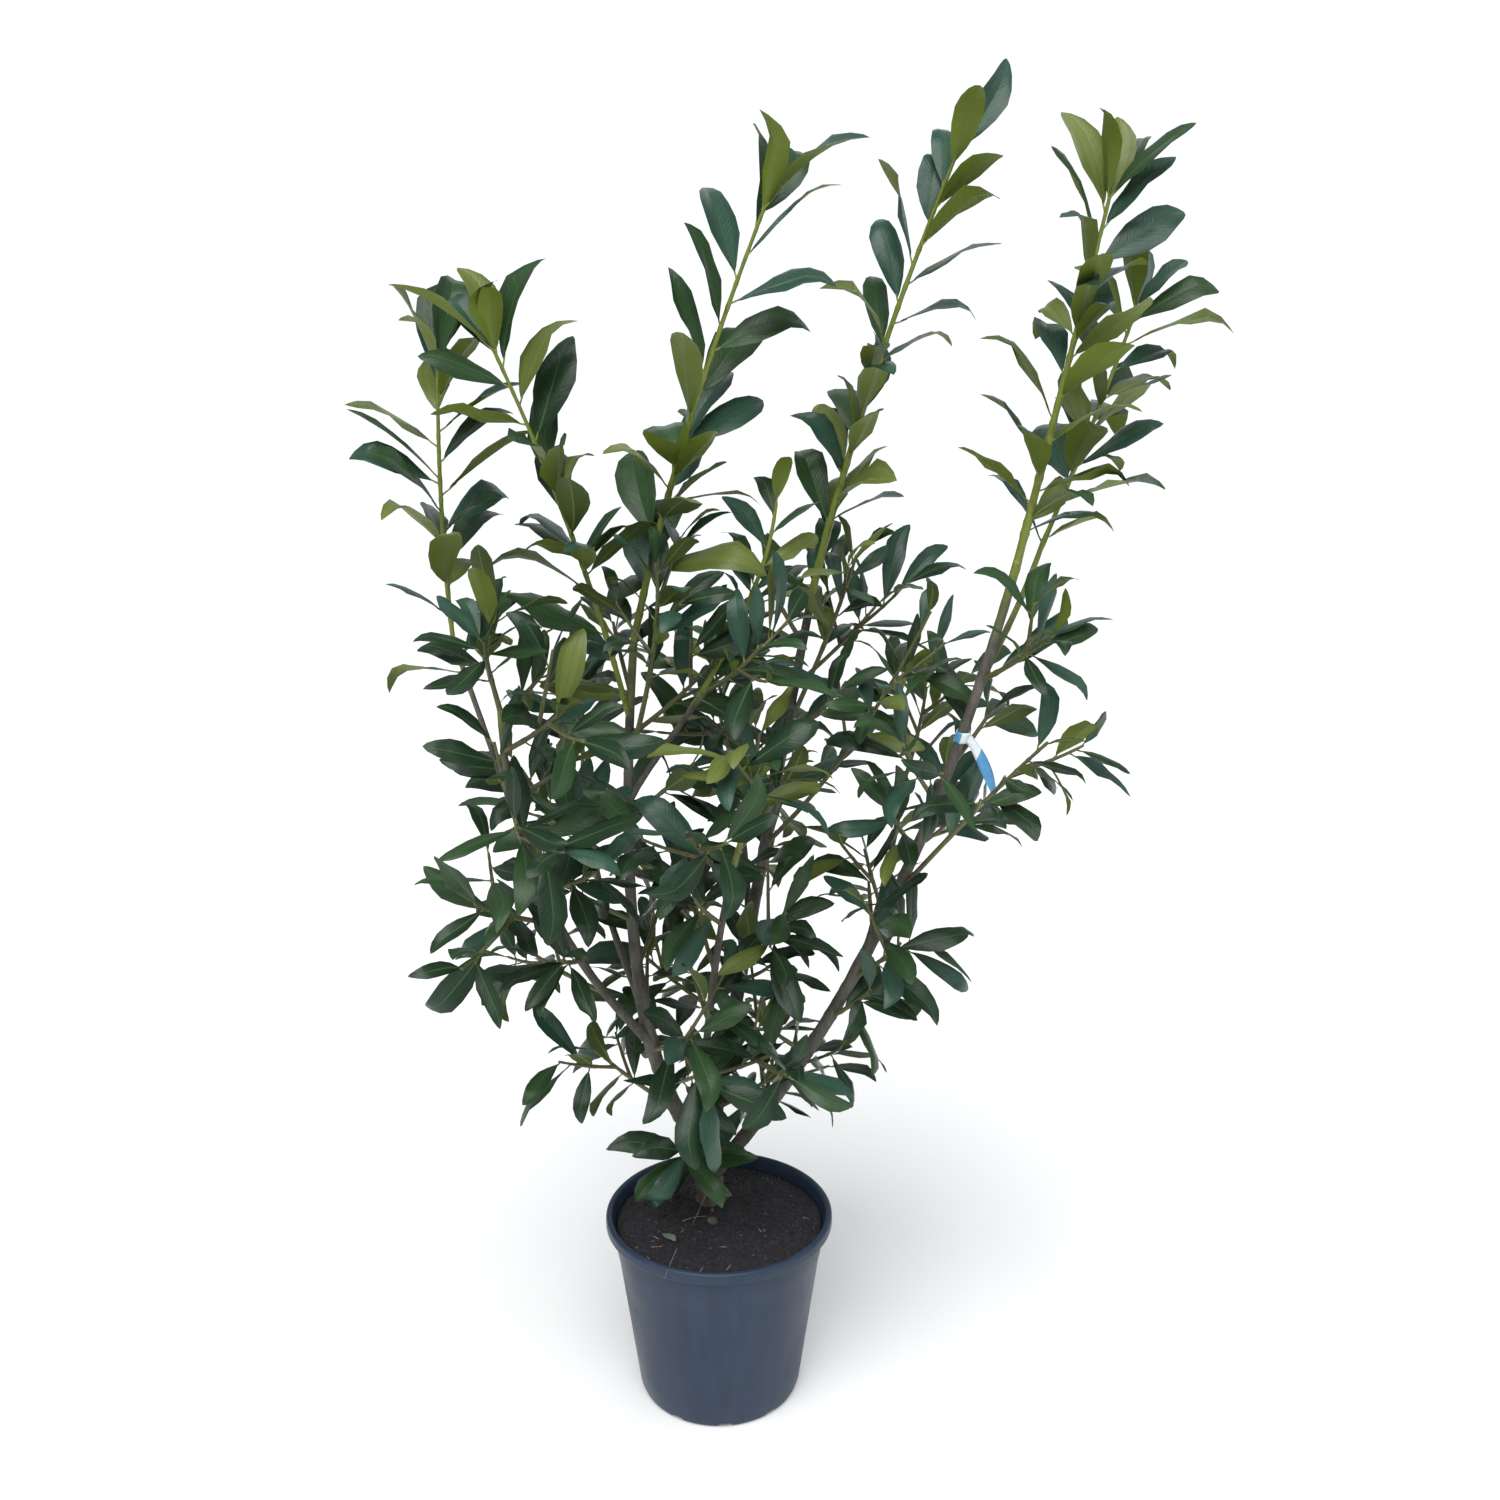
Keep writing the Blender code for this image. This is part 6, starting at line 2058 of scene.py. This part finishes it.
class LAUREL_OT_label(Operator):
    """Loops the plain label of white and blue film round the right bough."""

    bl_idname = "laurel.label"
    bl_label = "Label"

    def execute(self, context):
        settings = context.scene.laurel_label
        arcs, _ = grown_plant()
        seat = tag_seat(arcs)
        across = seat[1].cross(seat[2]).normalized()
        band = label_band(seat, across)
        strip = label_strip(arcs, seat, across, len(band[0]))
        points, faces, films = (first + second for first, second in zip(band, strip))
        obj = new_mesh("label", points, faces)
        obj.data.materials.append(film_material("label_film", settings.film, (0.62, 0.72, 0.80)))
        obj.data.materials.append(film_material("label_tail", settings.tail, (0.05, 0.20, 0.45)))
        obj.data.polygons.foreach_set("material_index", films)
        thick = obj.modifiers.new("thick", "SOLIDIFY")
        thick.thickness = FILM_THICKNESS
        thick.offset = 0
        keep_result(obj, thick)
        finish_piece(obj, "tag_film", "stem_tag")
        return {"FINISHED"}


class LAUREL_PT_panel(Panel):
    """Lists the steps that build the plant."""

    bl_label = "Potted cherry laurel"
    bl_idname = "LAUREL_PT_panel"
    bl_space_type = "VIEW_3D"
    bl_region_type = "UI"
    bl_category = "Laurel"

    def draw(self, context):
        scene = context.scene
        for operator, settings in STEPS:
            box = self.layout.box()
            box.operator(operator)
            group = getattr(scene, settings)
            for name in group.__annotations__:
                box.prop(group, name)


STEPS = (
    ("laurel.stage", "laurel_stage"),
    ("laurel.pot", "laurel_pot"),
    ("laurel.soil", "laurel_soil"),
    ("laurel.bark", "laurel_wood"),
    ("laurel.twigs", "laurel_wood"),
    ("laurel.leaves", "laurel_leaves"),
    ("laurel.label", "laurel_label"),
)
SETTINGS = {
    "laurel_stage": StageSettings, "laurel_pot": PotSettings, "laurel_soil": SoilSettings,
    "laurel_wood": WoodSettings, "laurel_leaves": LeafSettings, "laurel_label": LabelSettings,
}
OPERATORS = (LAUREL_OT_stage, LAUREL_OT_pot, LAUREL_OT_soil, LAUREL_OT_bark, LAUREL_OT_twigs, LAUREL_OT_leaves,
             LAUREL_OT_label)


def register():
    for name, kind in SETTINGS.items():
        bpy.utils.register_class(kind)
        setattr(bpy.types.Scene, name, PointerProperty(type=kind))
    for kind in (*OPERATORS, LAUREL_PT_panel):
        bpy.utils.register_class(kind)


def unregister():
    for kind in reversed((*OPERATORS, LAUREL_PT_panel)):
        bpy.utils.unregister_class(kind)
    for name, kind in reversed(SETTINGS.items()):
        delattr(bpy.types.Scene, name)
        bpy.utils.unregister_class(kind)


def main():
    register()
    bpy.ops.laurel.stage()
    bpy.ops.laurel.pot()
    bpy.ops.laurel.soil()
    bpy.ops.laurel.bark()
    bpy.ops.laurel.twigs()
    bpy.ops.laurel.leaves()
    bpy.ops.laurel.label()
    bpy.context.view_layer.update()


if __name__ == "__main__":
    main()
